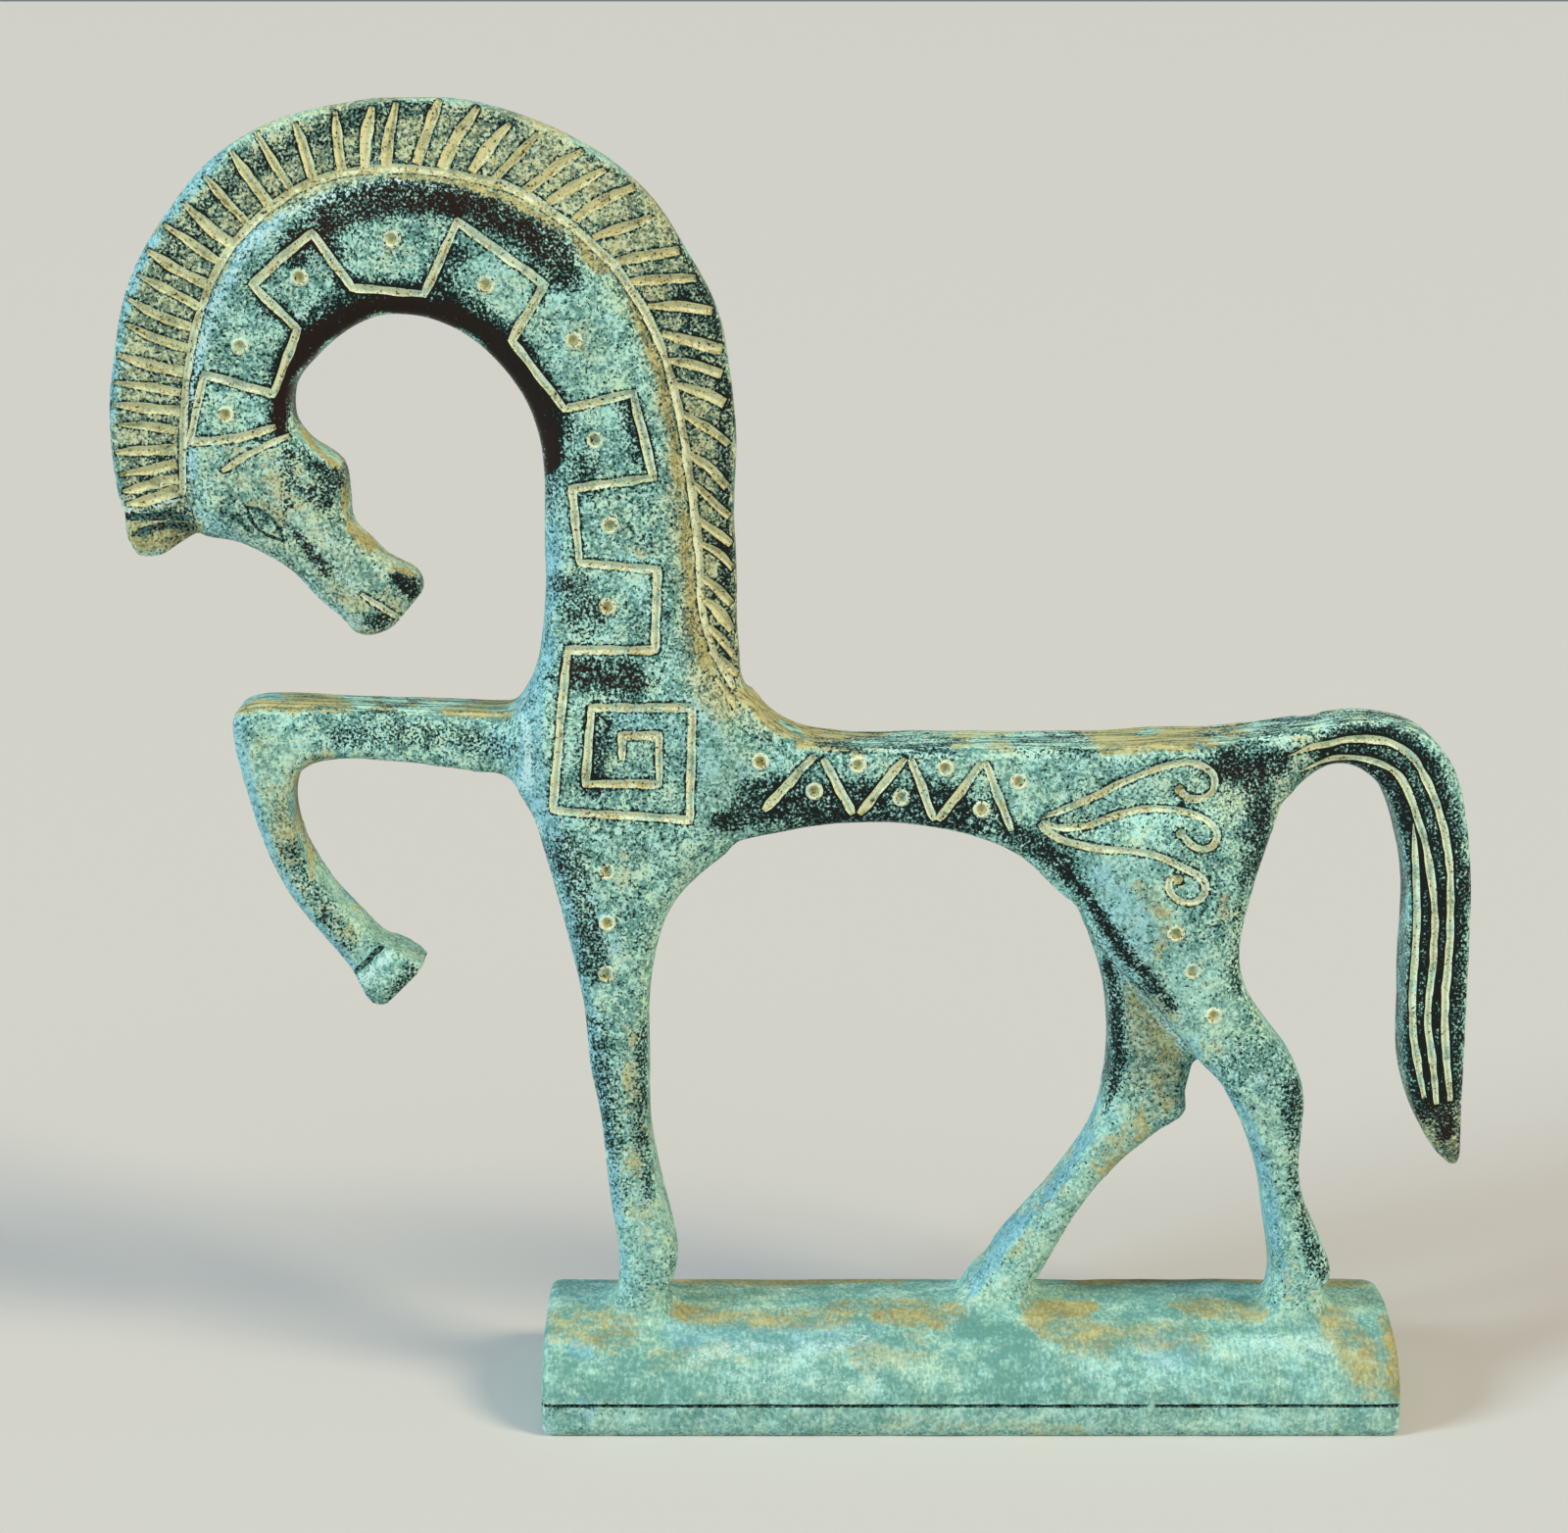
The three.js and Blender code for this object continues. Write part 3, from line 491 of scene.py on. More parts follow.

# Where the patina differs from the rest, and where light and shade are painted: each mark has a radius, a
# strength, and the corners of its line, as (x, z) in the side view.
DARK_MARKS = [
    (1.9, 1.9, *NECK_ARCH),
    (2.6, 1, (-101, 154.5), (-101, 158), (-99, 163.5), (-95, 168), (-89.5, 171), (-83, 171.5),
        (-76.5, 170.5), (-71, 167), (-67, 162), (-63.5, 156.5), (-62, 153)),
    (2.4, 0.95, (-99, 178.5), (-94.5, 182.5), (-91, 185), (-84.5, 186.2), (-76.5, 185.8), (-69.5, 183.2),
        (-63.5, 179.5), (-60, 175)),
    (1.5, 1, (-92, 174), (-86, 171.5), (-79.5, 171.5)),
    (3, 0.5, (-64, 150), (-64.5, 144)),
    (1.5, 0.8, (-78, 174.5), (-75.5, 177.5)),
    (1, 0.8, (-92.5, 177.5), (-94.5, 181.5)),
    (1, 0.8, (-104.5, 171.5), (-99.5, 168)),
    (1.5, 0.9, (-67, 164.5), (-62, 156.5)),
    (1.5, 0.7, (-51.5, 156.5), (-48.5, 148)),
    (1.5, 0.6, (-58.5, 148), (-57, 143.5)),
    (2, 0.7, (-42.5, 172), (-40.5, 161)),
    (2.5, 0.75, (-59, 117), (-51, 115.5)),
    (2, 0.75, (-56, 110), (-57, 100)),
    (2.5, 0.6, (-60, 129), (-57.5, 124.5)),
    (1.5, 0.85, (-37.5, 94), (-30, 95.5), (-21, 96), (-13, 96), (-5, 95), (1.5, 94), (8, 91), (13.5, 87.5)),
    (3.5, 0.9, (-32, 97), (-24, 96), (-14, 96.5), (1, 95)),
    (2.2, 0.95, (37, 102), (44.5, 102.5)),
    (1.8, 0.7, (41.5, 100), (43, 93)),
    (2, 0.6, (42.5, 92), (41.5, 86)),
    (0.9, 1.1, (13.5, 86.5), (18.5, 80), (23, 74), (28.5, 67.5), (30, 65.5)),
    (1.5, 1, (20.5, 70.5), (22, 61.5), (22, 53.5), (20.5, 49.5)),
    (1.5, 0.7, (-48, 69), (-49, 59.5), (-49.5, 45.5), (-48.5, 35.5)),
    (1.6, 0.5, (-56.5, 62), (-55, 48), (-53.5, 34)),
    (1.5, 0.55, (-103.5, 88), (-99.5, 80.5), (-95, 74)),
    (1.3, 0.6, (-84.6, 71.5), (-85.5, 68.5), (-88, 65)),
    (2, 0.6, (-61.5, 90.5), (-58.5, 80), (-57, 71.5)),
    (1.5, 0.85, (48.5, 52), (49.5, 44), (50.5, 35.5), (52.5, 27.5), (54.5, 22.5)),
    (1, 0.6, (39.5, 80), (41, 67.5)),
    (1.5, 1, (56.5, 108), (63.5, 106), (68, 101.5), (71.5, 93.5), (73, 84.5), (73.5, 69), (73.5, 53.5),
        (73, 44)),
    (1, 0.9, (65, 90.5), (66.5, 75), (66.5, 59.5), (68.5, 51)),
    (3.5, 0.95, (54.5, 104), (62, 99.5), (67.5, 89), (69.5, 75), (70, 59.5), (71, 49)),
    (2, 0.7, (-93.5, 148.5), (-88, 143.5), (-86.5, 138.5)),
    (0.8, 1, (-100.1, 136.7), (-98.2, 134), (-96.1, 131.1)),
    (1.2, 0.6, (-101, 149), (-101.3, 141.6)),
    (1.3, 0.8, (-97.9, 142.9), (-96, 141.4)),
    (1.5, 0.7, (-97.5, 148), (-94.5, 144)),
    (1.2, 0.4, (-109, 139.6), (-103, 140), (-101.8, 136.5)),
    (1.1, 1.2, (-85.6, 130.2), (-84, 129), (-83, 126.8)),
    (1, 0.9, (-89.5, 123.5), (-86.5, 123.7)),
    (0.7, 1.2, (-125.5, 139.2), (-121, 139.4), (-116.5, 139)),
    (1, 0.85, (-62, 196.5), (-55, 193), (-49, 187.5), (-43.5, 181.5), (-40.5, 174.5), (-38.5, 166.5),
        (-37.5, 155), (-37, 143.5), (-37, 129), (-35.5, 122)),
    (1.5, 0.6, (-118, 176.5), (-110.5, 186), (-100, 193), (-88.5, 197.5), (-77.5, 199), (-66.5, 197)),
    (3.5, 0.1, (-121.5, 148), *MANE_MIDDLE),
    (1.5, 0.5, (-95, 106), (-87, 106.5), (-79, 106), (-71, 104.5)),
    (2, 0.45, (-97.5, 85), (-94.5, 78.5)),
    (0.5, 1, (-63, 116.5), (-62.5, 116)),
    # Darker along the plinth's foot and just under its groove
    (0.7, 0.7, (-65, 0.4), (65, 0.4)),
    (0.7, 0.6, (-65, 4.2), (-52, 4.2)),
    (0.7, 0.5, (20, 4.2), (40, 4.2)),
]
TOP_OCHRE_MARKS = [
    (4, 1.3, (-106, 110.5), (-97, 110.5)),
    (2, 0.7, (-92, 110), (-90, 110)),
    (2, 1.1, (-88.5, 110), (-86, 110)),
    (4, 1.3, (-76, 110), (-64, 110)),
    (4, 1.4, (-36, 114), (-28, 108), (-21, 105)),
    (2, 0.7, (-4, 105), (6, 105)),
    (4, 1.4, (20, 105), (37, 106)),
    (3, 0.5, (-105, 196), (-85, 200), (-60, 196)),
]
TOP_DARK_MARKS = [
    (3, 0.45, (-19, 105), (-6, 105)),
    (2, 0.5, (9, 105), (15, 105)),
    (3, 0.5, (40, 106), (50, 108), (62, 108)),
    (3, 0.5, (-88, 110), (-86, 110)),
]
BROWN_MARKS = [
    (2, 1, (-98.5, 179), (-93.5, 183), (-84.5, 185.5), (-76.5, 185.5), (-68, 182.5), (-61.5, 178)),
    (2.5, 0.7, (-93.5, 148.5), (-86.5, 141)),
    (1.4, 1.4, (-100.1, 136.7), (-98.2, 134), (-96.1, 131.1)),
    (1.5, 1, (-101, 149), (-101.3, 141.6)),
    (2, 0.6, *NECK_ARCH),
    (2.5, 0.6, (-59, 117), (-51, 115.5)),
    (3, 0.6, (-60, 129), (-56, 124.5)),
    (2, 0.6, (-61.5, 90.5), (-58, 81.5)),
    (2.5, 0.6, (36, 101), (43, 99.5)),
    (2, 0.8, (-122, 137), (-116, 138)),
    (2.5, 0.9, (72, 46.5), (74, 41)),
    (1.2, 0.9, (-101.5, 83), (-98, 78.5)),
]
OCHRE_MARKS = [
    (0.8, 1.5, (-118, 142), (-117.6, 149.5), (-116.7, 158), (-114.9, 166.5), (-110.5, 176.5), (-102, 185.6),
        (-93, 190)),
    (4, 0.45, (-121.5, 143.5), *MANE_MIDDLE),
    (1.1, 1.8, (-98.5, 151.5), (-95.7, 149.4), (-92.8, 147), (-91.7, 144), (-91.3, 140), (-89.6, 135.9),
        (-87.2, 133), (-84, 131), (-82, 129.7)),
    (1, 1, (-91, 121.6), (-88, 121.6)),
    (0.9, 1.5, (-50, 172), (-46.7, 163.5), (-44.9, 155), (-43.4, 143.5), (-42.3, 132), (-41.8, 124),
        (-40, 117)),
    (1.2, 1.5, (-84.5, 188.6), (-75, 187.9), (-66.5, 185.4), (-59.5, 181), (-54.5, 176)),
    (2.2, 1.3, (-123.5, 136.5), (-117, 136.6)),
    (2, 0.55, (-51.5, 136.5), (-48, 135.5)),
    (2, 0.5, (-85.5, 179), (-83.5, 177.5)),
    (2, 0.5, (-58.5, 166), (-57, 164.5)),
    (3.5, 0.45, (-113, 151), (-106, 146.5), (-96, 143.5)),
    (2, 0.6, (-97, 129), (-87.5, 126)),
    (1.7, 0.95, (-97, 102.5), (-101, 99.5), (-102.3, 95), (-101, 89)),
    (0.9, 1, (-88.2, 73.8), (-85.2, 71.8)),
    (1.5, 0.7, (72.7, 43.5), (74, 40.5)),
    (1.5, 0.5, (-107, 105.5), (-105.5, 93.5), (-102, 84.5), (-95, 74.5)),
    (2.6, 0.85, (25.5, 66), (30, 59.5), (31, 52), (27, 45.5), (21.5, 38.5)),
    (1, 0.9, (-107, 141.8), (-104.5, 141), (-102, 138.6)),
    (1, 0.7, (-106, 137.8), (-103, 135.6)),
    (1, 0.8, (28, 63), (32, 58)),
    (2.5, 0.9, (71, 46.5), (74, 40)),
    (1.5, 0.5, (-54.5, 105.5), (-49, 107.5)),
    (2, 0.4, (-53, 87.5), (-52, 81.5)),
    (1.2, 0.8, (-52, 62), (-51.5, 50), (-51, 38)),
    (1.1, 0.9, (24.5, 84.5), (28.5, 79.5), (28, 73.5)),
    (0.9, 0.8, (37.4, 82.5), (37.2, 79.5)),
    (1.5, 0.4, (36, 59.5), (46, 53.5)),
    (2, 0.45, (-50.5, 33), (-49, 22)),
    (2, 0.5, (47, 26.5), (51, 19)),
    (1, 0.7, (6.5, 23.5), (10.5, 30.5), (15, 37)),
    (1, 0.6, (-13.5, 2.5), (17, 1.5)),
]
# Blue patina; many of these lie on edges that face left, where the blue is also painted cool light from the
# left.
BLUE_MARKS = [
    (2, 1, (-63.5, 138), (-63.5, 129), (-64.5, 120.5), (-66, 113), (-66.5, 105.5), (-65.5, 99.5),
        (-63.5, 92.5)),
    (1.1, 1.1, (-115.6, 146), (-115.2, 153), (-114.6, 159.6), (-113.4, 165), (-110.8, 171.5), (-107, 177.5),
        (-101.5, 183.2)),
    (1.1, 0.5, (-114.5, 140.5), (-107.5, 135), (-101, 130.2), (-93.5, 124.2)),
    (4.5, 0.5, (-43, 108.5), (-38, 101)),
    (2.5, 0.5, (-63, 148), (-61, 142)),
    (3.5, 0.6, (18.5, 84.5), (26, 76.5)),
    (1.5, 0.7, (19, 74.5), (26.5, 66), (33.5, 57.5)),
    (1.5, 1.1, (36.5, 54), (42, 45), (45.5, 34.5), (47.5, 22)),
    (0.5, 1, (63.5, 93.5), (64, 80), (64.5, 64.5), (66.5, 53.5)),
    (1.4, 1, (-110, 108), (-110, 102), (-108.2, 93), (-105.6, 85), (-100.7, 77), (-95, 69.6)),
    (1.9, 1.2, (18, 43.5), (10.5, 34.5), (4, 26.5), (0.5, 20)),
    (1, 0.8, (-60, 6), (-58, 4)),
    (1.3, 0.9, (-63, 90.5), (-60, 75), (-57, 56.5), (-55, 37.5), (-54, 23.5)),
    (0.8, 1.3, (-127.6, 155), (-127, 161.5), (-125.3, 169), (-122, 176.8), (-117, 184.3), (-110, 191.5)),
    (2, 0.6, (-52, 110), (-47.5, 109)),
    (2, 0.5, (-58, 84.5), (-54.5, 75)),
    (2.5, 0.5, (47.5, 59.5), (44.5, 53.5)),
    (2, 0.5, (-75, 108.5), (-68.5, 102.5)),
]
CALM_MARKS = [
    (4, 0.2, (-121, 148), *MANE_MIDDLE),
    (4, 0.5, (27, 64), (28, 54), (20, 42)),
    (4.5, 0.7, (21.5, 87.5), (29, 76.5), (36, 63)),
    (5, 0.75, (46, 48), (48, 36), (50, 16)),
    (6, 0.85, (24, 43.5), (12, 31), (4, 17)),
    (3, 0.3, (-55, 75), (-52, 45)),
    (5, 0.8, (-51, 38), (-50, 15)),
    (4, 0.35, (-110.5, 148.5), (-100.5, 138), (-90.5, 129)),
    (5, 0.6, (-105.5, 104), (-103.5, 87.5), (-92, 70)),
    (4, 0.5, (-40, 108.5), (-36.5, 99.5)),
    (3.5, 0.5, (-71.5, 176), (-69, 172)),
    (4.5, 0.4, (-57, 168), (-56, 160)),
    (3.5, 0.4, (0.5, 101), (15.5, 99.5)),
]
OLIVE_MARKS = [
    (5.5, 0.75, (-121, 140), (-121.5, 148), *MANE_MIDDLE, (-37, 115)),
    (7, 0.4, (-106, 143), (-98, 136), (-88, 128)),
    (4, 0.6, (-100.5, 97), (-103, 90)),
    (4, 0.6, (27, 64), (28, 54)),
    (5, 0.9, (72, 46), (74, 39)),
    (4, 0.5, (-38, 116), (-30, 110)),
    (3, 0.5, (50, 105), (60, 104)),
    (5, 0.45, (40, 97), (46, 100)),
]
# Pale lines along ridges and edges: partly worn pale, partly painted highlights.
PALE_MARKS = [
    (0.7, 0.7, (-115.4, 146), (-115, 153), (-114.4, 159.6), (-113, 165), (-110.5, 171.5), (-106.7, 177.5),
        (-101, 183), (-92.5, 186.5)),
    (0.6, 0.9, (-126, 140.6), (-122.2, 140.8), (-118.3, 142)),
    (0.6, 0.8, (-92.5, 186.5), (-84.5, 187.8), (-76, 187)),
    (0.45, 1, (-27.4, 106.3), (-17.9, 105.4), (-7.4, 104.5), (3.2, 104.2), (19.1, 104.3), (34.9, 104.8)),
    (0.7, 0.6, (17.4, 76.6), (23.1, 69.7), (29.2, 62), (34.4, 56.2)),
    (0.7, 0.8, (-93.2, 67.4), (-86.6, 73.6)),
    (0.7, 0.9, (-67.5, 109), (-66.5, 104), (-66.5, 99)),
    (0.7, 0.9, (-84.5, 109.8), (-82.5, 109.8)),
    (0.7, 0.6, (-101.6, 130), (-94.5, 124.6), (-88, 120.8)),
]

# The same on the plinth's arch, as lines of (x, y) in the plan.
PLINTH_OCHRE_MARKS = [
    (4.5, 0.75, (-61.5, -8.5), (-55.5, -10)),
    (2.2, 1, (-45.2, -6.2), (-40, -7.4)),
    (2.4, 0.85, (-40, -7.4), (-28.5, -8.2), (-20, -7.6)),
    (2.8, 0.8, (-20, -4.5), (-9, -4.5), (-2.7, -6)),
    (2.4, 1, (-13.2, -6.8), (-5, -8.2)),
    (1.8, 0.5, (-47.5, -15.9), (-43.5, -15.3), (-36.5, -14.3)),
    (3, 0.6, (-16, -14.5), (-9, -13.5)),
    (3, 1.2, (11.1, -5.6), (17.2, -4.8)),
    (3.4, 0.9, (12, -9.4), (20, -12)),
    (2.8, 0.75, (24, -11.1), (33.9, -12.2)),
    (3, 0.9, (35, -4.6), (44.5, -5.7)),
    (3.6, 0.9, (56.7, -9.1), (59.9, -15.4)),
    (1.4, 1.1, (64.8, -7.8), (64.2, -17.8)),
    (4, 1, (-52, 9), (-30, 8), (-12, 10)),
    (4, 1, (20, 8), (38, 10), (60, 7)),
]
PLINTH_BLUE_MARKS = [
    (2.6, 0.6, (-45, -11.5), (-30, -11.8), (-15, -11)),
    (2.6, 0.7, (28.2, -13.9), (32.6, -14.2)),
    (1.5, 1.1, (-60.4, -13.6), (-59.2, -13.8)),
    (2, 0.7, (-10, 14), (4, 13)),
]
PLINTH_PALE_MARKS = [
    (1.2, 0.55, (-42, -15.2), (-34, -13.6), (-27, -14.4), (-16, -12.3)),
    (1.5, 0.4, (-38, -17.3), (-14.3, -17.3)),
    (2.5, 0.5, (45.1, -12.9), (54, -13.6)),
    (2.4, 0.4, (18, -15.5), (30, -16.5)),
]
PLINTH_DEEP_MARKS = [
    (5, 0.9, (19.9, 1), (33.3, -2.6)),
    (3, 0.8, (-28, -2.5), (-21, -3)),
    (3.2, 0.9, (-55, -12.9), (-50, -15.5), (-45, -14.2)),
    (4, 1.1, (2.1, -10.1), (6.6, -15.4)),
    (2.2, 0.9, (11, -16.6), (16.5, -17.2)),
    # Painted shadow: these two lines darken the arch along its lower front edge, above the groove.
    (1.6, 0.9, (-62, -18.6), (-40, -18.6)),
    (1.6, 0.8, (-0.9, -18.3), (18.4, -18.3)),
    (3, 0.6, (-25, 4), (-8, 5)),
    (4, 0.7, (-40, 14), (-20, 13)),
]

# The marks by what they mark: as seen from the side, on the horse's upper side, and on the plinth's arch
SIDE_MARKS = {
    "bare": DARK_MARKS, "brown": BROWN_MARKS, "olive": OLIVE_MARKS, "ochre": OCHRE_MARKS, "blue": BLUE_MARKS,
    "pale": PALE_MARKS, "calm": CALM_MARKS,
}
TOP_MARKS = {"bare": TOP_DARK_MARKS, "ochre": TOP_OCHRE_MARKS}
ARCH_MARKS = {
    "ochre": PLINTH_OCHRE_MARKS, "blue": PLINTH_BLUE_MARKS, "pale": PLINTH_PALE_MARKS,
    "deep": PLINTH_DEEP_MARKS,
}


def curve_through(points, station):
    """A point of the centripetal curve through the points, at a station counted along them."""
    last = len(points) - 1
    start = min(int(station), last - 1)
    share = station - start
    before = points[start - 1] if start > 0 else points[0] * 2 - points[1]
    after = points[start + 2] if start + 2 <= last else points[last] * 2 - points[last - 1]
    near, far = points[start], points[start + 1]
    step = [max((b - a).length_squared ** 0.25, 1e-3) for a, b in ((before, near), (near, far), (far, after))]
    leaving = (near - before) / step[0] - (far - before) / (step[0] + step[1]) + (far - near) / step[1]
    arriving = (far - near) / step[1] - (after - near) / (step[1] + step[2]) + (after - far) / step[2]
    leaving *= step[1]
    arriving *= step[1]
    bend = (near - far) * 2 + leaving + arriving
    swing = (far - near) * 3 - leaving * 2 - arriving
    return near + leaving * share + swing * share ** 2 + bend * share ** 3


class Limb:
    """The side view of a limb, read by station and by share of its width."""

    def __init__(self, ribs):
        self.last = len(ribs) - 1
        self.front = [Vector((rib[0], rib[1])) for rib in ribs]
        self.back = [Vector((rib[2], rib[3])) for rib in ribs]
        self.body = [Vector((rib[4], rib[5])) for rib in ribs]

    def place(self, station, share):
        return curve_through(self.front, station).lerp(curve_through(self.back, station), share)

    def thickness(self, station):
        start = min(int(station), self.last - 1)
        return self.body[start].lerp(self.body[start + 1], station - start)


def rounded(value, squareness):
    return math.copysign(abs(value) ** (2 / squareness), value)


def edges_of(verts):
    """The edges at the vertices, always in the same order."""
    return list(dict.fromkeys(edge for vert in verts for edge in vert.link_edges))


def faces_of(verts):
    """The faces at the vertices, always in the same order."""
    return list(dict.fromkeys(face for vert in verts for face in vert.link_faces))


def add_rod(bm, sides, rings):
    """A closed unit rod along Z, from +0.5 down to -0.5, with rings along it."""
    first = len(bm.verts)
    bmesh.ops.create_cone(
        bm, cap_ends=True, cap_tris=False, segments=sides, radius1=1, radius2=1, depth=1
    )
    bm.verts.ensure_lookup_table()
    if rings > 1:
        edges = edges_of(bm.verts[first:])
        along = [edge for edge in edges if abs(edge.verts[0].co.z - edge.verts[1].co.z) > 0.5]
        bmesh.ops.subdivide_edges(bm, edges=along, cuts=rings - 1, use_grid_fill=True)
        bm.verts.ensure_lookup_table()
    return bm.verts[first:]


def add_limb(bm, ribs, taper=1.0, squareness=SECTION_SQUARENESS):
    """A limb: a rod whose rings take the places of its ribs and of steps between them."""
    limb = Limb(ribs)
    for vert in add_rod(bm, SECTION_SIDES, limb.last * RINGS_PER_RIB):
        station = (0.5 - vert.co.z) * limb.last
        share = (rounded(vert.co.x, squareness) + 1) / 2
        thickness, middle = limb.thickness(station)
        half = thickness / 2 * (1 + (taper - 1) * share)
        place = limb.place(station, share)
        vert.co = Vector((place.x, middle + rounded(vert.co.y, squareness) * half, place.y))


def add_plinth(bm):
    """The plinth: an arch drawn out along X, with its ends and lower edges softened."""
    side = PLINTH_DEPTH / 2
    end_x = -PLINTH_LENGTH / 2
    crown = PLINTH_HEIGHT - PLINTH_EDGE_HEIGHT
    foot = bmesh.ops.create_vert(bm, co=(end_x, side, 0))["vert"]
    first = len(bm.verts)
    shoulder = bmesh.ops.create_vert(bm, co=(end_x, side, PLINTH_EDGE_HEIGHT))["vert"]
    bmesh.ops.spin(
        bm, geom=shoulder, cent=(end_x, 0, PLINTH_EDGE_HEIGHT), axis=(1, 0, 0), angle=math.pi,
        steps=PLINTH_ARCH_STEPS,
    )
    bm.verts.ensure_lookup_table()
    arch = sorted(bm.verts[first:], key=lambda vert: -vert.co.y)
    for vert in arch:
        vert.co.z = PLINTH_EDGE_HEIGHT + (vert.co.z - PLINTH_EDGE_HEIGHT) * crown / side
    outline = foot + arch + bmesh.ops.create_vert(bm, co=(end_x, -side, 0))["vert"]
    end = bmesh.ops.contextual_create(bm, geom=outline)["faces"]
    drawn = bmesh.ops.extrude_face_region(bm, geom=end, use_keep_orig=True)["geom"]
    moved = [piece for piece in drawn if isinstance(piece, bmesh.types.BMVert)]
    bmesh.ops.translate(bm, verts=moved, vec=(PLINTH_LENGTH, 0, 0))
    body = outline + moved
    bmesh.ops.recalc_face_normals(bm, faces=faces_of(body))
    sharp = [
        edge for edge in edges_of(body)
        if len(edge.link_faces) == 2 and edge.calc_face_angle() > math.radians(PLINTH_CORNER_ANGLE)
    ]
    bmesh.ops.bevel(
        bm, geom=sharp, offset=PLINTH_ROUNDING, affect="EDGES", segments=PLINTH_ROUNDING_STEPS, profile=0.5,
        material=-1,
    )


def mesh_object(name, bm):
    mesh = bpy.data.meshes.new(name)
    bm.to_mesh(mesh)
    bm.free()
    made = bpy.data.objects.new(name, mesh)
    bpy.context.scene.collection.objects.link(made)
    return made


def take_modifiers(piece):
    """Makes what the modifiers show the piece's own mesh."""
    shown = piece.evaluated_get(bpy.context.evaluated_depsgraph_get())
    finished = bpy.data.meshes.new_from_object(shown)
    old = piece.data
    piece.modifiers.clear()
    piece.data = finished
    bpy.data.meshes.remove(old)


def smooth(bm, verts, rounds):
    for _ in range(rounds):
        bmesh.ops.smooth_vert(bm, verts=verts, factor=0.5, use_axis_x=True, use_axis_y=True, use_axis_z=True)


def soften(horse):
    """Runs the joins into each other, makes the skin a little uneven and keeps it in the casting's box."""
    lowest, highest = ([value / MILLIMETRE for value in corner] for corner in cad_box)
    bm = bmesh.new()
    bm.from_mesh(horse.data)
    smooth(bm, bm.verts, SKIN_SMOOTHING)
    joins = [(Vector(place), reach) for place, reach in JOINS]
    soft = [vert for vert in bm.verts if any((vert.co - place).length < reach for place, reach in joins)]
    smooth(bm, soft, JOIN_SMOOTHING)
    bm.normal_update()
    for vert in bm.verts:
        swell = noise.noise(vert.co / UNEVENNESS_REACH)
        swell += 0.5 * noise.noise(vert.co / FINE_UNEVENNESS_REACH)
        vert.co += vert.normal * swell * UNEVENNESS
        if vert.co.z < UNDERSIDE_REACH:
            vert.co.z = 0.0
        for axis in range(3):
            vert.co[axis] = min(max(vert.co[axis], lowest[axis]), highest[axis])
    bm.to_mesh(horse.data)
    bm.free()


def cast_horse():
    """The uncut casting: its limbs and plinth run together into one skin."""
    bm = bmesh.new()
    add_limb(bm, HEAD_TO_FOOT)
    add_limb(bm, MANE, taper=MANE_RIM_TAPER, squareness=FLAT_SQUARENESS)
    for ribs in (FORELOCK, BACK_AND_TAIL, RAISED_FORELEG):
        add_limb(bm, ribs, squareness=FLAT_SQUARENESS)
    for ribs in (NEAR_HIND_LEG, FAR_HIND_LEG):
        add_limb(bm, ribs)
    add_plinth(bm)
    horse = mesh_object("horse_and_plinth", bm)
    remesh = horse.modifiers.new("skin", "REMESH")
    remesh.mode = "VOXEL"
    remesh.voxel_size = SKIN_GRAIN
    take_modifiers(horse)
    soften(horse)
    return horse


def surface_reader(horse):
    """Reads the skin's y at (x, z), seen from the show side or from the back."""
    bm = bmesh.new()
    bm.from_mesh(horse.data)
    tree = BVHTree.FromBMesh(bm)
    bm.free()

    def read(x, z, side):
        hit = tree.ray_cast(Vector((x, side * OUTSIDE, z)), Vector((0, -side, 0)))[0]
        return None if hit is None else hit.y

    return read


def along_curve(corners):
    """Even points along a smooth curve through the corners, about a gouge's step apart."""
    points = [Vector(corner) for corner in corners]
    reach = sum((b - a).length for a, b in zip(points, points[1:]))
    count = max(2, round(reach / GOUGE_STEP))
    last = len(points) - 1
    return [curve_through(points, last * i / count) for i in range(count + 1)]


def stroke_size(gone, to_go, start, end, narrowing):
    """How full a cut is along its length: it narrows to its ends."""
    rise = min(1.0, start + (1 - start) * gone / narrowing)
    fall = min(1.0, end + (1 - end) * to_go / narrowing)
    return min(rise, fall)


def add_gouge(bm, path, side, read, width, depth, start=0.7, end=0.7, narrowing=1.0, seed=0.0):
    """One cut of the chisel: a rod half sunk in the skin along the path, its ends narrowed."""
    heights = [read(point.x, point.y, side) for point in path]
    known = [height for height in heights if height is not None]
    heights = [height if height is not None else known[0] for height in heights]
    last = len(path) - 1
    step = (path[1] - path[0]).length
    above = GOUGE_RISE * depth
    rod = add_rod(bm, GOUGE_SIDES, last)
    for vert in rod:
        ring = round((0.5 - vert.co.z) * last)
        x, z = path[ring]
        run = (path[min(ring + 1, last)] - path[max(ring - 1, 0)]).normalized()
        sway = noise.noise(Vector((x * GOUGE_SWAY_RATE, z * GOUGE_SWAY_RATE, seed + GOUGE_SWAY_SEED)))
        wobble = noise.noise(Vector((x * GOUGE_WOBBLE_RATE, z * GOUGE_WOBBLE_RATE, seed)))
        size = stroke_size(ring * step, (last - ring) * step, start, end, narrowing)
        size *= 1 + GOUGE_WOBBLE * wobble
        sideways = vert.co.x * size * width / 2 * GOUGE_SPREAD + GOUGE_SWAY * sway
        inwards = vert.co.y * (size * depth + above)
        vert.co = (x - run.y * sideways, heights[ring] + side * (above - inwards), z + run.x * sideways)
    if side == BACK_SIDE:
        bmesh.ops.reverse_faces(bm, faces=faces_of(rod))


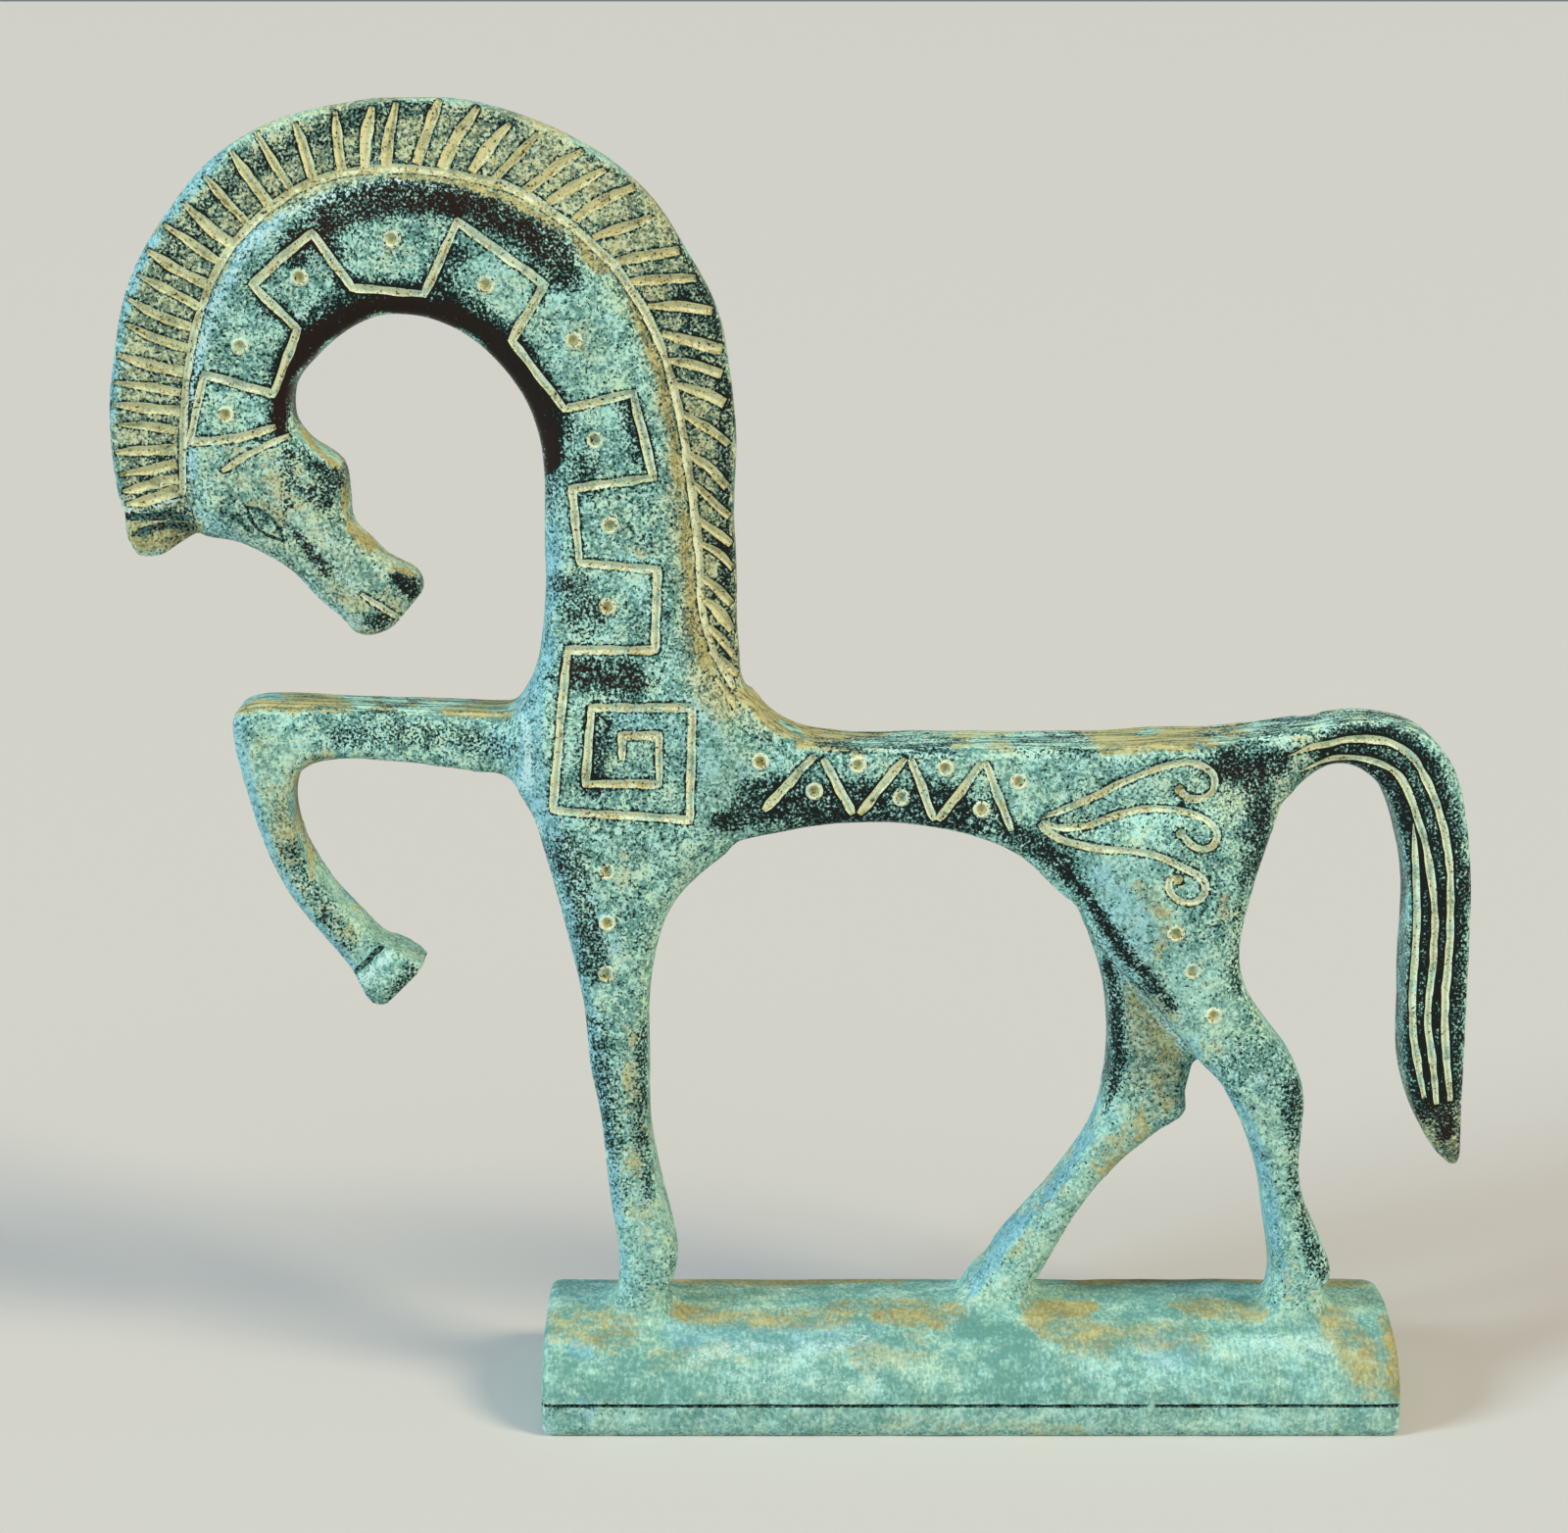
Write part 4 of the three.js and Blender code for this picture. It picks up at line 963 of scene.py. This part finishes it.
def combine(horse, bm, finish, operation="DIFFERENCE"):
    """Cuts the shapes in bm out of the horse, or adds them. Their faces take the finish given."""
    for face in bm.faces:
        face.material_index = finish
    cutter = mesh_object("cutter", bm)
    for material in horse.data.materials:
        cutter.data.materials.append(material)
    cut = horse.modifiers.new("cut", "BOOLEAN")
    cut.operation = operation
    cut.solver = "MANIFOLD"
    cut.object = cutter
    take_modifiers(horse)
    bpy.data.objects.remove(cutter)


def strokes(corners):
    """The separate strokes between corners, each run a little past both its ends."""
    for a, b in zip(corners, corners[1:]):
        start, end = Vector(a), Vector(b)
        run = (end - start).normalized() * STROKE_OVERRUN
        yield [start - run, end + run]


def cut_lines(horse, read, side, lines, size, finish=CUT_FILL, **ends):
    """Cuts lines that stay clear of each other, at one go."""
    bm = bmesh.new()
    for index, line in enumerate(lines):
        add_gouge(bm, along_curve(line), side, read, *size, seed=index * SEED_STEP + side, **ends)
    combine(horse, bm, finish)


def cut_in_turn(cut, lines, size, **ends):
    """Cuts every other line and then those between, because each runs into the next."""
    cut(lines[0::2], size, **ends)
    cut(lines[1::2], size, **ends)


def spread(values, share):
    """The value at a share of the way along evenly spaced values."""
    return np.interp(share, np.linspace(0, 1, len(values)), values)


def cut_mane(horse, read, side):
    """The mane's fan of cuts, wide at the neck and pointed at the rim."""
    mane = Limb(MANE)
    shuffle = random.Random(MANE_CUT_SEED + side)
    count = MANE_CUTS[side]
    bm = bmesh.new()
    for i in range(count):
        share = i / (count - 1)
        station = MANE_CUT_FIRST + (MANE_CUT_LAST - MANE_CUT_FIRST) * share ** MANE_CUT_CROWDING
        station += shuffle.uniform(*MANE_CUT_SHIFT)
        lead = spread(MANE_CUT_LEAD, share) + shuffle.uniform(*MANE_CUT_LEAD_SHIFT)
        inner = mane.place(station, spread(MANE_CUT_INNER, share) + shuffle.uniform(*MANE_CUT_INNER_SHIFT))
        outer = mane.place(station, MANE_CUT_OUTER + shuffle.uniform(*MANE_CUT_OUTER_SHIFT))
        run = mane.place(min(station + 0.2, mane.last), MANE_CUT_OUTER) - mane.place(station, MANE_CUT_OUTER)
        outer += run.normalized() * lead
        bow = (outer - inner).orthogonal().normalized() * shuffle.uniform(*MANE_CUT_BOW)
        path = along_curve([inner, inner.lerp(outer, 0.5) + bow, outer])
        width, depth = MANE_FAN_CUT
        width *= shuffle.uniform(*MANE_CUT_FULLNESS)
        start, end = spread(MANE_CUT_START, share), spread(MANE_CUT_END, share)
        add_gouge(bm, path, side, read, width, depth, start, end, MANE_CUT_NARROWING, seed=i * 1.3)
    combine(horse, bm, MANE_FILL)


def add_ring(bm, place):
    """The low burr round a dot: a ring with its axis along Y."""
    first = len(bm.verts)
    circle = bmesh.ops.create_circle(
        bm, segments=DOT_RIM_ROUND, radius=DOT_RIM_THICKNESS,
        matrix=Matrix.Translation((DOT_RIM_RADIUS, 0, 0)) @ TO_Y,
    )["verts"]
    bmesh.ops.spin(
        bm, geom=circle + edges_of(circle), cent=(0, 0, 0), axis=(0, 0, 1), angle=math.tau,
        steps=DOT_RIM_SIDES, use_merge=True,
    )
    bm.verts.ensure_lookup_table()
    ring = bm.verts[first:]
    bmesh.ops.recalc_face_normals(bm, faces=faces_of(ring))
    bmesh.ops.transform(bm, verts=ring, matrix=place @ TO_Y)


def punch_dots(horse, read):
    """The punched dots of the show side, each a shallow round pit in a low burr."""
    bm = bmesh.new()
    shuffle = random.Random(DOT_SEED)
    for x, z in DOTS:
        sunk = DOT_RIM_THICKNESS * shuffle.uniform(*DOT_RIM_SUNK)
        place = Matrix.Translation((x, read(x, z, SHOW_SIDE) - SHOW_SIDE * sunk, z))
        for axis in "XZ":
            place @= Matrix.Rotation(shuffle.uniform(*DOT_RIM_LEAN), 4, axis)
        add_ring(bm, place)
    combine(horse, bm, DOT_BURR, "UNION")
    ball_radius = (DOT_RADIUS ** 2 + DOT_DEPTH ** 2) / (2 * DOT_DEPTH)
    bm = bmesh.new()
    for x, z in DOTS + [scroll[-1] for scroll in SCROLLS]:
        place = Matrix.Translation((x, read(x, z, SHOW_SIDE) + SHOW_SIDE * (ball_radius - DOT_DEPTH), z))
        bmesh.ops.create_icosphere(bm, subdivisions=4, radius=ball_radius, matrix=place)
    combine(horse, bm, DOT_FILL)


def notch_mouth(horse):
    """A round notch across the muzzle, where the mouth begins."""
    x, z = MOUTH_NOTCH
    bm = bmesh.new()
    bmesh.ops.create_cone(
        bm, cap_ends=True, segments=MOUTH_NOTCH_SIDES, radius1=MOUTH_NOTCH_RADIUS, radius2=MOUTH_NOTCH_RADIUS,
        depth=MOUTH_NOTCH_LENGTH, matrix=Matrix.Translation((x, 0, z)) @ TO_Y,
    )
    combine(horse, bm, DARK_LINE)


def cut_plinth_groove(horse):
    """The uneven line round the plinth's upright edge."""
    bm = bmesh.new()
    runs = ((0, PLINTH_LENGTH, PLINTH_DEPTH / 2), (1, PLINTH_DEPTH, PLINTH_LENGTH / 2))
    for side in (-1, 1):
        for axis, length, away in runs:
            for vert in add_rod(bm, PLINTH_GROOVE_SIDES, round(length / PLINTH_GROOVE_STEP)):
                along = vert.co.z * (length + PLINTH_GROOVE_OVERRUN)
                wobble = noise.noise(Vector((along * PLINTH_GROOVE_WOBBLE_RATE, side * 7, axis * 11)))
                size = 1 + PLINTH_GROOVE_WOBBLE * wobble
                place = Vector((0, 0, PLINTH_EDGE_HEIGHT + vert.co.x * size * PLINTH_GROOVE_WIDTH / 2))
                place[axis] = along
                place[1 - axis] = side * away + vert.co.y * size * PLINTH_GROOVE_DEPTH
                vert.co = place
    bmesh.ops.recalc_face_normals(bm, faces=bm.faces)
    combine(horse, bm, DARK_LINE)


def add_plinth_lump(horse):
    """The lump of metal left in the plinth's groove."""
    bm = bmesh.new()
    y = SHOW_SIDE * (PLINTH_DEPTH / 2 - PLINTH_LUMP_RADIUS)
    place = Matrix.Translation((PLINTH_LUMP_X, y, PLINTH_EDGE_HEIGHT - PLINTH_LUMP_DROP))
    lump = bmesh.ops.create_icosphere(bm, subdivisions=3, radius=PLINTH_LUMP_RADIUS, matrix=place)["verts"]
    bmesh.ops.scale(bm, verts=lump, vec=(1, 1, PLINTH_LUMP_STRETCH), space=place.inverted())
    combine(horse, bm, SKIN, "UNION")


def chisel(horse):
    """All that is cut in the casting. The back has the plain lines only."""
    read = surface_reader(horse)
    for side in (SHOW_SIDE, BACK_SIDE):
        cut = partial(cut_lines, horse, read, side)
        band = KEY_BAND + CHEST_SPIRAL if side == SHOW_SIDE else KEY_BAND
        cut_in_turn(cut, list(strokes(band)), BAND_CUT)
        cut([KEY_BAND_CLOSE], BAND_CUT)
        cut(TAIL_LINES, SCROLL_CUT, start=0.15, narrowing=5)
        cut([MANE_LINE], MANE_LINE_CUT)
        cut_mane(horse, read, side)
        cut(FACE_LINES, FACE_CUT)
        cut([HOOF_LINE], HOOF_CUT, finish=DARK_LINE, start=0.8)
        cut(FORELOCK_FOLDS, BAND_CUT, finish=DARK_LINE, start=0.4)
        cut_in_turn(cut, EYE_LINES, EYE_CUT, finish=DARK_LINE)
    cut = partial(cut_lines, horse, read, SHOW_SIDE)
    cut_in_turn(cut, ZIGZAG, BAND_CUT)
    for scroll in SCROLLS:
        cut([scroll], SCROLL_CUT, start=0.2)
    punch_dots(horse, read)
    notch_mouth(horse)
    cut_plinth_groove(horse)
    add_plinth_lump(horse)


def shells(bm):
    """The sets of vertices that edges join."""
    left = set(bm.verts)
    while left:
        shell = set()
        front = {left.pop()}
        while front:
            shell |= front
            front = {edge.other_vert(vert) for vert in front for edge in vert.link_edges} - shell
        left -= shell
        yield shell


def clean(horse):
    """Splits the faces into triangles, closes up slivers and drops the specks that the cuts leave loose."""
    bm = bmesh.new()
    bm.from_mesh(horse.data)
    for _ in range(2):
        bmesh.ops.triangulate(bm, faces=bm.faces)
        bmesh.ops.dissolve_degenerate(bm, dist=SLIVER, edges=bm.edges)
    bmesh.ops.triangulate(bm, faces=bm.faces)
    bmesh.ops.delete(bm, geom=[edge for edge in bm.edges if not edge.link_faces], context="EDGES")
    body = max(shells(bm), key=len)
    bmesh.ops.delete(bm, geom=[vert for vert in bm.verts if vert not in body], context="VERTS")
    bm.to_mesh(horse.data)
    bm.free()


def unit(values):
    """The values, kept between 0 and 1."""
    return np.clip(values, 0, 1)


def distance_to_line(points, line):
    """How far each of the points, in rows of two, is from a line through corners."""
    corners = np.array(line, dtype=float)
    nearest = np.full(len(points), np.inf)
    for a, b in zip(corners, corners[1:]):
        run = b - a
        share = unit((points - a) @ run / (run @ run))
        nearest = np.minimum(nearest, np.hypot(*(points - a - share[:, None] * run).T))
    return nearest


def marked(points, marks):
    """How strongly each of the points is marked, fading round each mark."""
    strength = np.zeros(len(points))
    for radius, most, *line in marks:
        fade = unit(MARK_REACH - distance_to_line(points, line) / radius)
        strength = np.maximum(strength, most * fade * fade * (3 - 2 * fade))
    return strength


def read_vectors(layer, key):
    flat = np.empty(len(layer) * 3)
    layer.foreach_get(key, flat)
    return flat.reshape(-1, 3)


def roundness(mesh):
    """How sharply the skin turns outwards at each vertex, per millimetre; hollows are below zero."""
    points = read_vectors(mesh.vertices, "co")
    normals = read_vectors(mesh.vertex_normals, "vector")
    ends = np.empty(len(mesh.edges) * 2, dtype=np.int32)
    mesh.edges.foreach_get("vertices", ends)
    ends = ends.reshape(-1, 2)
    apart = points[ends[:, 0]] - points[ends[:, 1]]
    turn = ((normals[ends[:, 0]] - normals[ends[:, 1]]) * apart).sum(axis=1) / (apart ** 2).sum(axis=1)
    for _ in range(2):
        total = np.zeros(len(points))
        count = np.zeros(len(points))
        for end in (0, 1):
            np.add.at(total, ends[:, end], turn)
            np.add.at(count, ends[:, end], 1)
        at_vertex = total / np.maximum(count, 1)
        turn = (at_vertex[ends[:, 0]] + at_vertex[ends[:, 1]]) / 2
    return at_vertex


def search_tree(places):
    tree = KDTree(len(places))
    for index, place in enumerate(places):
        tree.insert(place, index)
    tree.balance()
    return tree


def note_wear_and_painted_light(horse, skin_places, skin_turns):
    """Stores where the patina's colours and the painted light and shade lie, how it is worn, and what is near
    a cut or on an edge.
    """
    mesh = horse.data
    points = read_vectors(mesh.vertices, "co")
    normals = read_vectors(mesh.vertex_normals, "vector")
    height = points[:, 2]
    on_plinth = unit((PLINTH_HEIGHT + PLINTH_FADE - height) / PLINTH_FADE)
    on_arch = on_plinth * unit(height - PLINTH_EDGE_HEIGHT)
    on_top = unit(normals[:, 2] * 4 - 1.6) * (1 - on_plinth)
    facing = np.clip(np.abs(normals[:, 1]) * 1.6, 0.6, 1)
    turned = 1 - np.abs(normals[:, 1:2])
    noise.seed_set(STRAY_SEED)
    stray = np.array([noise.noise_vector(Vector(point) / STRAY_REACH) for point in points])
    side_view = points[:, [0, 2]] + stray[:, [0, 2]] * turned * STRAY
    side = {name: marked(side_view, marks) for name, marks in SIDE_MARKS.items()}
    top = {name: marked(side_view, marks) * on_top for name, marks in TOP_MARKS.items()}
    arch = {name: marked(points[:, [0, 1]], marks) * on_arch for name, marks in ARCH_MARKS.items()}
    # Painted highlight on the plinth's upright side below the groove
    ledge_highlight = (on_plinth - on_arch) * PLINTH_LEDGE_HIGHLIGHT
    skin = search_tree(skin_places)
    filled = sorted({
        index for face in mesh.polygons if face.material_index in (CUT_FILL, DOT_FILL, MANE_FILL)
        for index in face.vertices
    })
    cuts = search_tree(points[filled])
    wear_and_light = {
        "bare": np.maximum(side["bare"] * facing * (1 - on_top) * (1 - on_arch), top["bare"]),
        "brown": side["brown"],
        "olive": side["olive"],
        "ochre": np.maximum.reduce([side["ochre"] * (1 - on_arch), top["ochre"], arch["ochre"]]),
        "blue": np.maximum(side["blue"], arch["blue"]),
        "pale": np.maximum.reduce([side["pale"] * (1 - on_top), arch["pale"], ledge_highlight]),
        "deep": arch["deep"],
        "filed": np.maximum(on_arch, on_plinth * PLINTH_LEDGE_FILING),
        "brushed": on_top * (np.abs(height - BACK_HEIGHT) < BACK_REACH),
        "calm": np.maximum.reduce([side["calm"], on_top * 0.85 - top["bare"], on_plinth * 0.9]),
        "turn": [skin_turns[skin.find(point)[1]] for point in points],
        "by_cut": [max(0.0, 1 - cuts.find(point)[2] / BESIDE_CUTS) for point in points],
    }
    for name in WEAR_AND_PAINTED_LIGHT_NAMES:
        layer = mesh.attributes.new(name, "FLOAT", "POINT")
        layer.data.foreach_set("value", np.asarray(wear_and_light[name], dtype=np.float32))


class Shader:
    """A material's or a node group's tree, written node by node."""

    def __init__(self, tree):
        self.tree = tree

    def fill(self, socket, value):
        if isinstance(value, bpy.types.NodeSocket):
            self.tree.links.new(value, socket)
        else:
            socket.default_value = value

    def node(self, kind, inputs=(), **settings):
        made = self.tree.nodes.new("ShaderNode" + kind)
        for name, value in settings.items():
            setattr(made, name, value)
        for key, value in dict(inputs).items():
            self.fill(made.inputs[key], value)
        return made

    def math(self, operation, first, second):
        return self.node("Math", {0: first, 1: second}, operation=operation).outputs[0]

    def times(self, first, second):
        return self.math("MULTIPLY", first, second)

    def weigh(self, *terms):
        """The sum of (value, weight) pairs and plain numbers."""
        total = None
        for term in terms:
            if isinstance(term, tuple):
                term = self.times(*term)
            total = term if total is None else self.math("ADD", total, term)
        return total

    def between(self, value, low, high):
        """0 at the low value, 1 at the high one, smooth between."""
        made = self.node(
            "MapRange", {"Value": value, "From Min": low, "From Max": high}, interpolation_type="SMOOTHSTEP"
        )
        return made.outputs["Result"]

    def blend(self, share, first, second):
        """From the first colour to the second, by a share."""
        made = self.node("Mix", data_type="RGBA", clamp_factor=True)
        sockets = {socket.identifier: socket for socket in made.inputs}
        self.fill(sockets["Factor_Float"], share)
        for key, colour in (("A_Color", first), ("B_Color", second)):
            self.fill(sockets[key], (*colour, 1) if isinstance(colour, tuple) else colour)
        return next(entry for entry in made.outputs if entry.identifier == "Result_Color")

    def vector(self, operation, first, second):
        return self.node("VectorMath", {0: first, 1: second}, operation=operation).outputs[0]

    def mottle(self, place, size, detail, shift):
        """Noise of about the given size in millimetres."""
        moved = self.vector("ADD", place, (shift, shift * 1.7, -shift))
        made = self.node("TexNoise", {"Vector": moved, "Scale": 1 / size, "Detail": detail, "Roughness": 0.6})
        return made.outputs["Fac"]

    def give(self, *values):
        """Puts out a node group's values, in the order of its sockets."""
        given = self.tree.nodes.new("NodeGroupOutput")
        for value, socket in zip(values, given.inputs):
            self.tree.links.new(value, socket)


def millimetres(shader):
    """Object coordinates, counted in millimetres."""
    coordinates = shader.node("TexCoord")
    scaled = shader.node("VectorMath", {0: coordinates.outputs["Object"]}, operation="SCALE")
    scaled.inputs["Scale"].default_value = 1 / MILLIMETRE
    return scaled.outputs[0]


def patina_group():
    """The mottling that all of the casting shares: its colours, with some painted light and shade, and the
    stipple that covers the metal.
    """
    tree = bpy.data.node_groups.new("patina", "ShaderNodeTree")
    for name, kind in (("Verdigris", "Color"), ("Metal", "Color"), ("Stipple", "Float"), ("Cloud", "Float"),
                       ("Cover", "Float"), ("Relief", "Float")):
        tree.interface.new_socket(name, in_out="OUTPUT", socket_type="NodeSocket" + kind)
    shader = Shader(tree)
    times, weigh, between, blend, mottle = (
        shader.times, shader.weigh, shader.between, shader.blend, shader.mottle
    )
    wear_and_light = {name: shader.node("Attribute", attribute_name=name).outputs["Fac"] for name in WEAR_AND_PAINTED_LIGHT_NAMES}
    place = millimetres(shader)

    # What breaks the finish up, from the finest to the broadest
    grain = mottle(place, *GRAIN)
    stipple = weigh((mottle(place, *STIPPLE), 3.6), (mottle(place, *COARSE_STIPPLE), 0.8), -1.7)
    flake = weigh((mottle(place, *FLAKE), 1.6), -0.3)
    cloud = weigh((mottle(place, *CLOUD), 1.6), -0.3)
    drift = weigh((mottle(place, *DRIFT), 1.6), -0.3)

    # The file's strokes and the washes on the plinth, and the streaks along the back
    sway = shader.node("TexNoise", {"Vector": place, "Scale": FILE_STROKE_SWAY_RATE}).outputs["Color"]
    swayed = shader.vector("ADD", shader.vector("MULTIPLY", place, FILE_STROKE_STRETCH), sway)
    strokes = times(weigh(mottle(swayed, *FILE_STROKES), -0.5), wear_and_light["filed"])
    lying = shader.vector("MULTIPLY", place, WASH_STRETCH)
    wash = times(weigh(mottle(lying, *WASH), -0.5), wear_and_light["filed"])
    lengthwise = shader.vector("MULTIPLY", place, BACK_STREAK_STRETCH)
    streaks = times(weigh(mottle(lengthwise, *BACK_STREAKS), -0.5), wear_and_light["brushed"])

    # How light the verdigris is: calm where it is marked so, and smooth where it is filed
    smoothly = weigh((wear_and_light["filed"], -0.42), 1.0)
    tone = weigh((mottle(place, *TONE), 1.9), (cloud, 0.6), (drift, 0.25), -1.375)
    tone = times(times(tone, weigh((wear_and_light["calm"], -0.6), 1.0)), smoothly)
    scuffed = weigh((wear_and_light["deep"], 1.0), (cloud, 1.6), (flake, 0.8), -1.3)
    deep = times(between(scuffed, 0.1, 0.9), wear_and_light["deep"])
    tone = weigh(
        tone, (strokes, 0.35), (wash, 0.62), (streaks, 2.2), (deep, -0.1), (wear_and_light["filed"], -0.07), 0.5
    )
    light = between(tone, 0.25, 0.75)

    # How much of each other colour lies over the mint
    hue = between(weigh((mottle(place, *HUE), 1.4), (flake, 0.3), -0.35), 0.2, 0.8)
    olive = weigh((wear_and_light["olive"], 0.9), (cloud, 0.3), (flake, 0.3), -0.3)
    # Blue: blue patina, partly painted cool light on edges that face left.
    blue = weigh((wear_and_light["blue"], 0.7), (cloud, 0.5), (flake, 0.4), -0.45)
    specks = times(weigh((cloud, 0.7), (flake, 0.5), -0.6), smoothly)
    ochre = weigh((wear_and_light["ochre"], 0.45), specks, (streaks, 1.5), (wash, 0.7))
    # Paler on convex edges, on the pale marks and in glints: partly worn pale, partly painted highlights.
    edge = between(wear_and_light["turn"], 0.2, 0.6)
    glints = times(weigh((flake, 0.8), (stipple, 0.5), -0.65), smoothly)
    pale = weigh((wear_and_light["pale"], 0.6), (edge, 0.3), glints, (wash, 0.3), 0.15)
    colour = blend(light, TEAL, blend(hue, COOL_MINT, WARM_MINT))
    colour = blend(between(olive, 0.1, 0.8), colour, blend(light, DARK_OLIVE, PALE_OLIVE))
    colour = blend(between(blue, 0.15, 0.6), colour, blend(light, DEEP_SKY, SKY))
    colour = blend(between(ochre, 0.1, 0.62), colour, blend(light, OCHRE, STRAW))
    colour = blend(between(pale, 0.3, 0.9), colour, ICE)

    # The bare metal, and how well the verdigris covers it
    brown = weigh((wear_and_light["brown"], 0.9), (drift, 0.5), (flake, 0.3), -0.35)
    metal = blend(between(brown, 0.2, 0.7), NEAR_BLACK, BROWN)
    # Beside the cuts the cover thins: partly bare metal, partly painted shade.
    cover = weigh(
        stipple, (cloud, 0.5), (drift, 0.35), -0.31, (wear_and_light["turn"], 0.1), (wear_and_light["bare"], -0.7),
        (between(wear_and_light["by_cut"], 0.4, 0.9), -0.58), (wear_and_light["calm"], 0.3), (wear_and_light["pale"], 0.15),
        (streaks, 1.6), (wear_and_light["filed"], 0.42),
    )
    shader.give(colour, metal, stipple, cloud, cover, weigh((grain, 0.6), (strokes, 2.0)))
    return tree


def finish_surface(shader, colour, roughness, height, relief):
    """Ends a material in a Principled shader with a bump of the given relief in millimetres."""
    surface = shader.tree.nodes["Principled BSDF"]
    surface.inputs["Specular IOR Level"].default_value = SHINE
    bump = shader.node("Bump", {"Height": height, "Strength": 1.0, "Distance": relief * MILLIMETRE})
    shader.tree.links.new(colour, surface.inputs["Base Color"])
    shader.tree.links.new(roughness, surface.inputs["Roughness"])
    shader.tree.links.new(bump.outputs["Normal"], surface.inputs["Normal"])


def new_material(name):
    made = bpy.data.materials.new(name)
    made.use_nodes = True
    return made, Shader(made.node_tree)


def verdigris_material(patina):
    """Pale verdigris stippled over near-black metal, with a thin dark green where it ends."""
    made, shader = new_material("verdigris")
    base = shader.node("Group", node_tree=patina).outputs
    thin = shader.blend(shader.between(base["Cover"], 0.0, 0.2), base["Metal"], DEEP_TEAL)
    thin = shader.blend(shader.between(base["Cover"], 0.18, 0.36), thin, TEAL)
    share = shader.between(base["Cover"], 0.32, 0.48)
    colour = shader.blend(share, thin, base["Verdigris"])
    roughness = shader.weigh((share, 0.38), 0.42)
    finish_surface(shader, colour, roughness, shader.weigh(share, base["Relief"]), SKIN_BUMP)
    return made


def cut_material(patina, name, bareness, shade, light):
    """The cuts' fill, with painted light and shade: paler on the walls that face down, darker on the others.
    """
    made, shader = new_material(name)
    base = shader.node("Group", node_tree=patina).outputs
    normal = shader.node("NewGeometry").outputs["Normal"]
    # Painted light and shade: walls that face down take the light colour, the others the shade colour.
    dot = shader.node("VectorMath", {0: normal, 1: PAINTED_LIGHT_FACING}, operation="DOT_PRODUCT")
    share = shader.weigh((dot.outputs["Value"], 0.5), (base["Stipple"], 0.45), (base["Cloud"], 0.9), 0.03)
    fill = shader.blend(shader.between(share, 0.1, 0.8), shade, light)
    hue = shader.between(shader.mottle(millimetres(shader), *FILL_HUE), 0.47, 0.62)
    fill = shader.blend(shader.times(hue, 0.5), fill, base["Verdigris"])
    cover = shader.between(shader.weigh(base["Stipple"], (base["Cloud"], 0.3), -bareness), 0.0, 0.3)
    colour = shader.blend(cover, base["Metal"], fill)
    roughness = shader.weigh((cover, 0.2), 0.6)
    finish_surface(shader, colour, roughness, base["Relief"], FILL_BUMP)
    return made


def make_horse():
    """The finished casting, in metres."""
    patina = patina_group()
    horse = cast_horse()
    skin_places = read_vectors(horse.data.vertices, "co")
    skin_turns = np.clip(roundness(horse.data), -1, 1)
    # Each cut finish has a colour for its painted shade and one for its painted light.
    for finish in (
        verdigris_material(patina),
        cut_material(patina, "cut_fill", 0.0, FILL_OCHRE, CREAM),
        cut_material(patina, "dot_fill", 0.0, OCHRE, STRAW),
        cut_material(patina, "dot_burr", 0.1, STRAW, CREAM),
        cut_material(patina, "plinth_line", 0.45, NEAR_BLACK, TEAL),
        cut_material(patina, "mane_fill", 0.0, FILL_OCHRE, OLIVE_CREAM),
    ):
        horse.data.materials.append(finish)
    chisel(horse)
    clean(horse)
    note_wear_and_painted_light(horse, skin_places, skin_turns)
    horse.data.transform(Matrix.Scale(MILLIMETRE, 4))
    horse.data.shade_smooth()
    horse.data.set_sharp_from_angle(angle=math.radians(SHARP_ANGLE))
    return horse


def lay_floor():
    bm = bmesh.new()
    bmesh.ops.create_grid(bm, x_segments=1, y_segments=1, size=FLOOR_REACH)
    floor = mesh_object("floor", bm)
    paper, shader = new_material("paper")
    surface = shader.tree.nodes["Principled BSDF"]
    surface.inputs["Base Color"].default_value = PAPER
    surface.inputs["Roughness"].default_value = PAPER_ROUGHNESS
    floor.data.materials.append(paper)
    return floor


def far_light(name, place, strength, colour, softness):
    """A broad, even light from the direction of the place."""
    data = bpy.data.lights.new(name, "SUN")
    data.angle = math.radians(softness)
    data.energy = strength
    data.color = colour
    lamp = bpy.data.objects.new(name, data)
    lamp.rotation_euler = Vector(place).to_track_quat("Z", "Y").to_euler()
    bpy.context.scene.collection.objects.link(lamp)


def light_air():
    world = bpy.data.worlds.new("studio")
    world.use_nodes = True
    background = world.node_tree.nodes["Background"]
    background.inputs["Color"].default_value = AIR
    background.inputs["Strength"].default_value = AIR_STRENGTH
    bpy.context.scene.world = world


def set_camera():
    data = bpy.data.cameras.new("camera")
    data.lens = CAMERA_LENS
    data.sensor_width = CAMERA_SENSOR
    camera = bpy.data.objects.new("camera", data)
    camera.location = CAMERA_PLACE
    camera.rotation_euler = (math.radians(CAMERA_TILT), 0, 0)
    bpy.context.scene.collection.objects.link(camera)
    bpy.context.scene.camera = camera
    bpy.context.scene.view_settings.view_transform = "Standard"


horse = make_horse()
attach(horse, "root")
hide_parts("horse_on_plinth")

floor = lay_floor()

for light in LIGHTS:
    far_light(*light)
light_air()
set_camera()
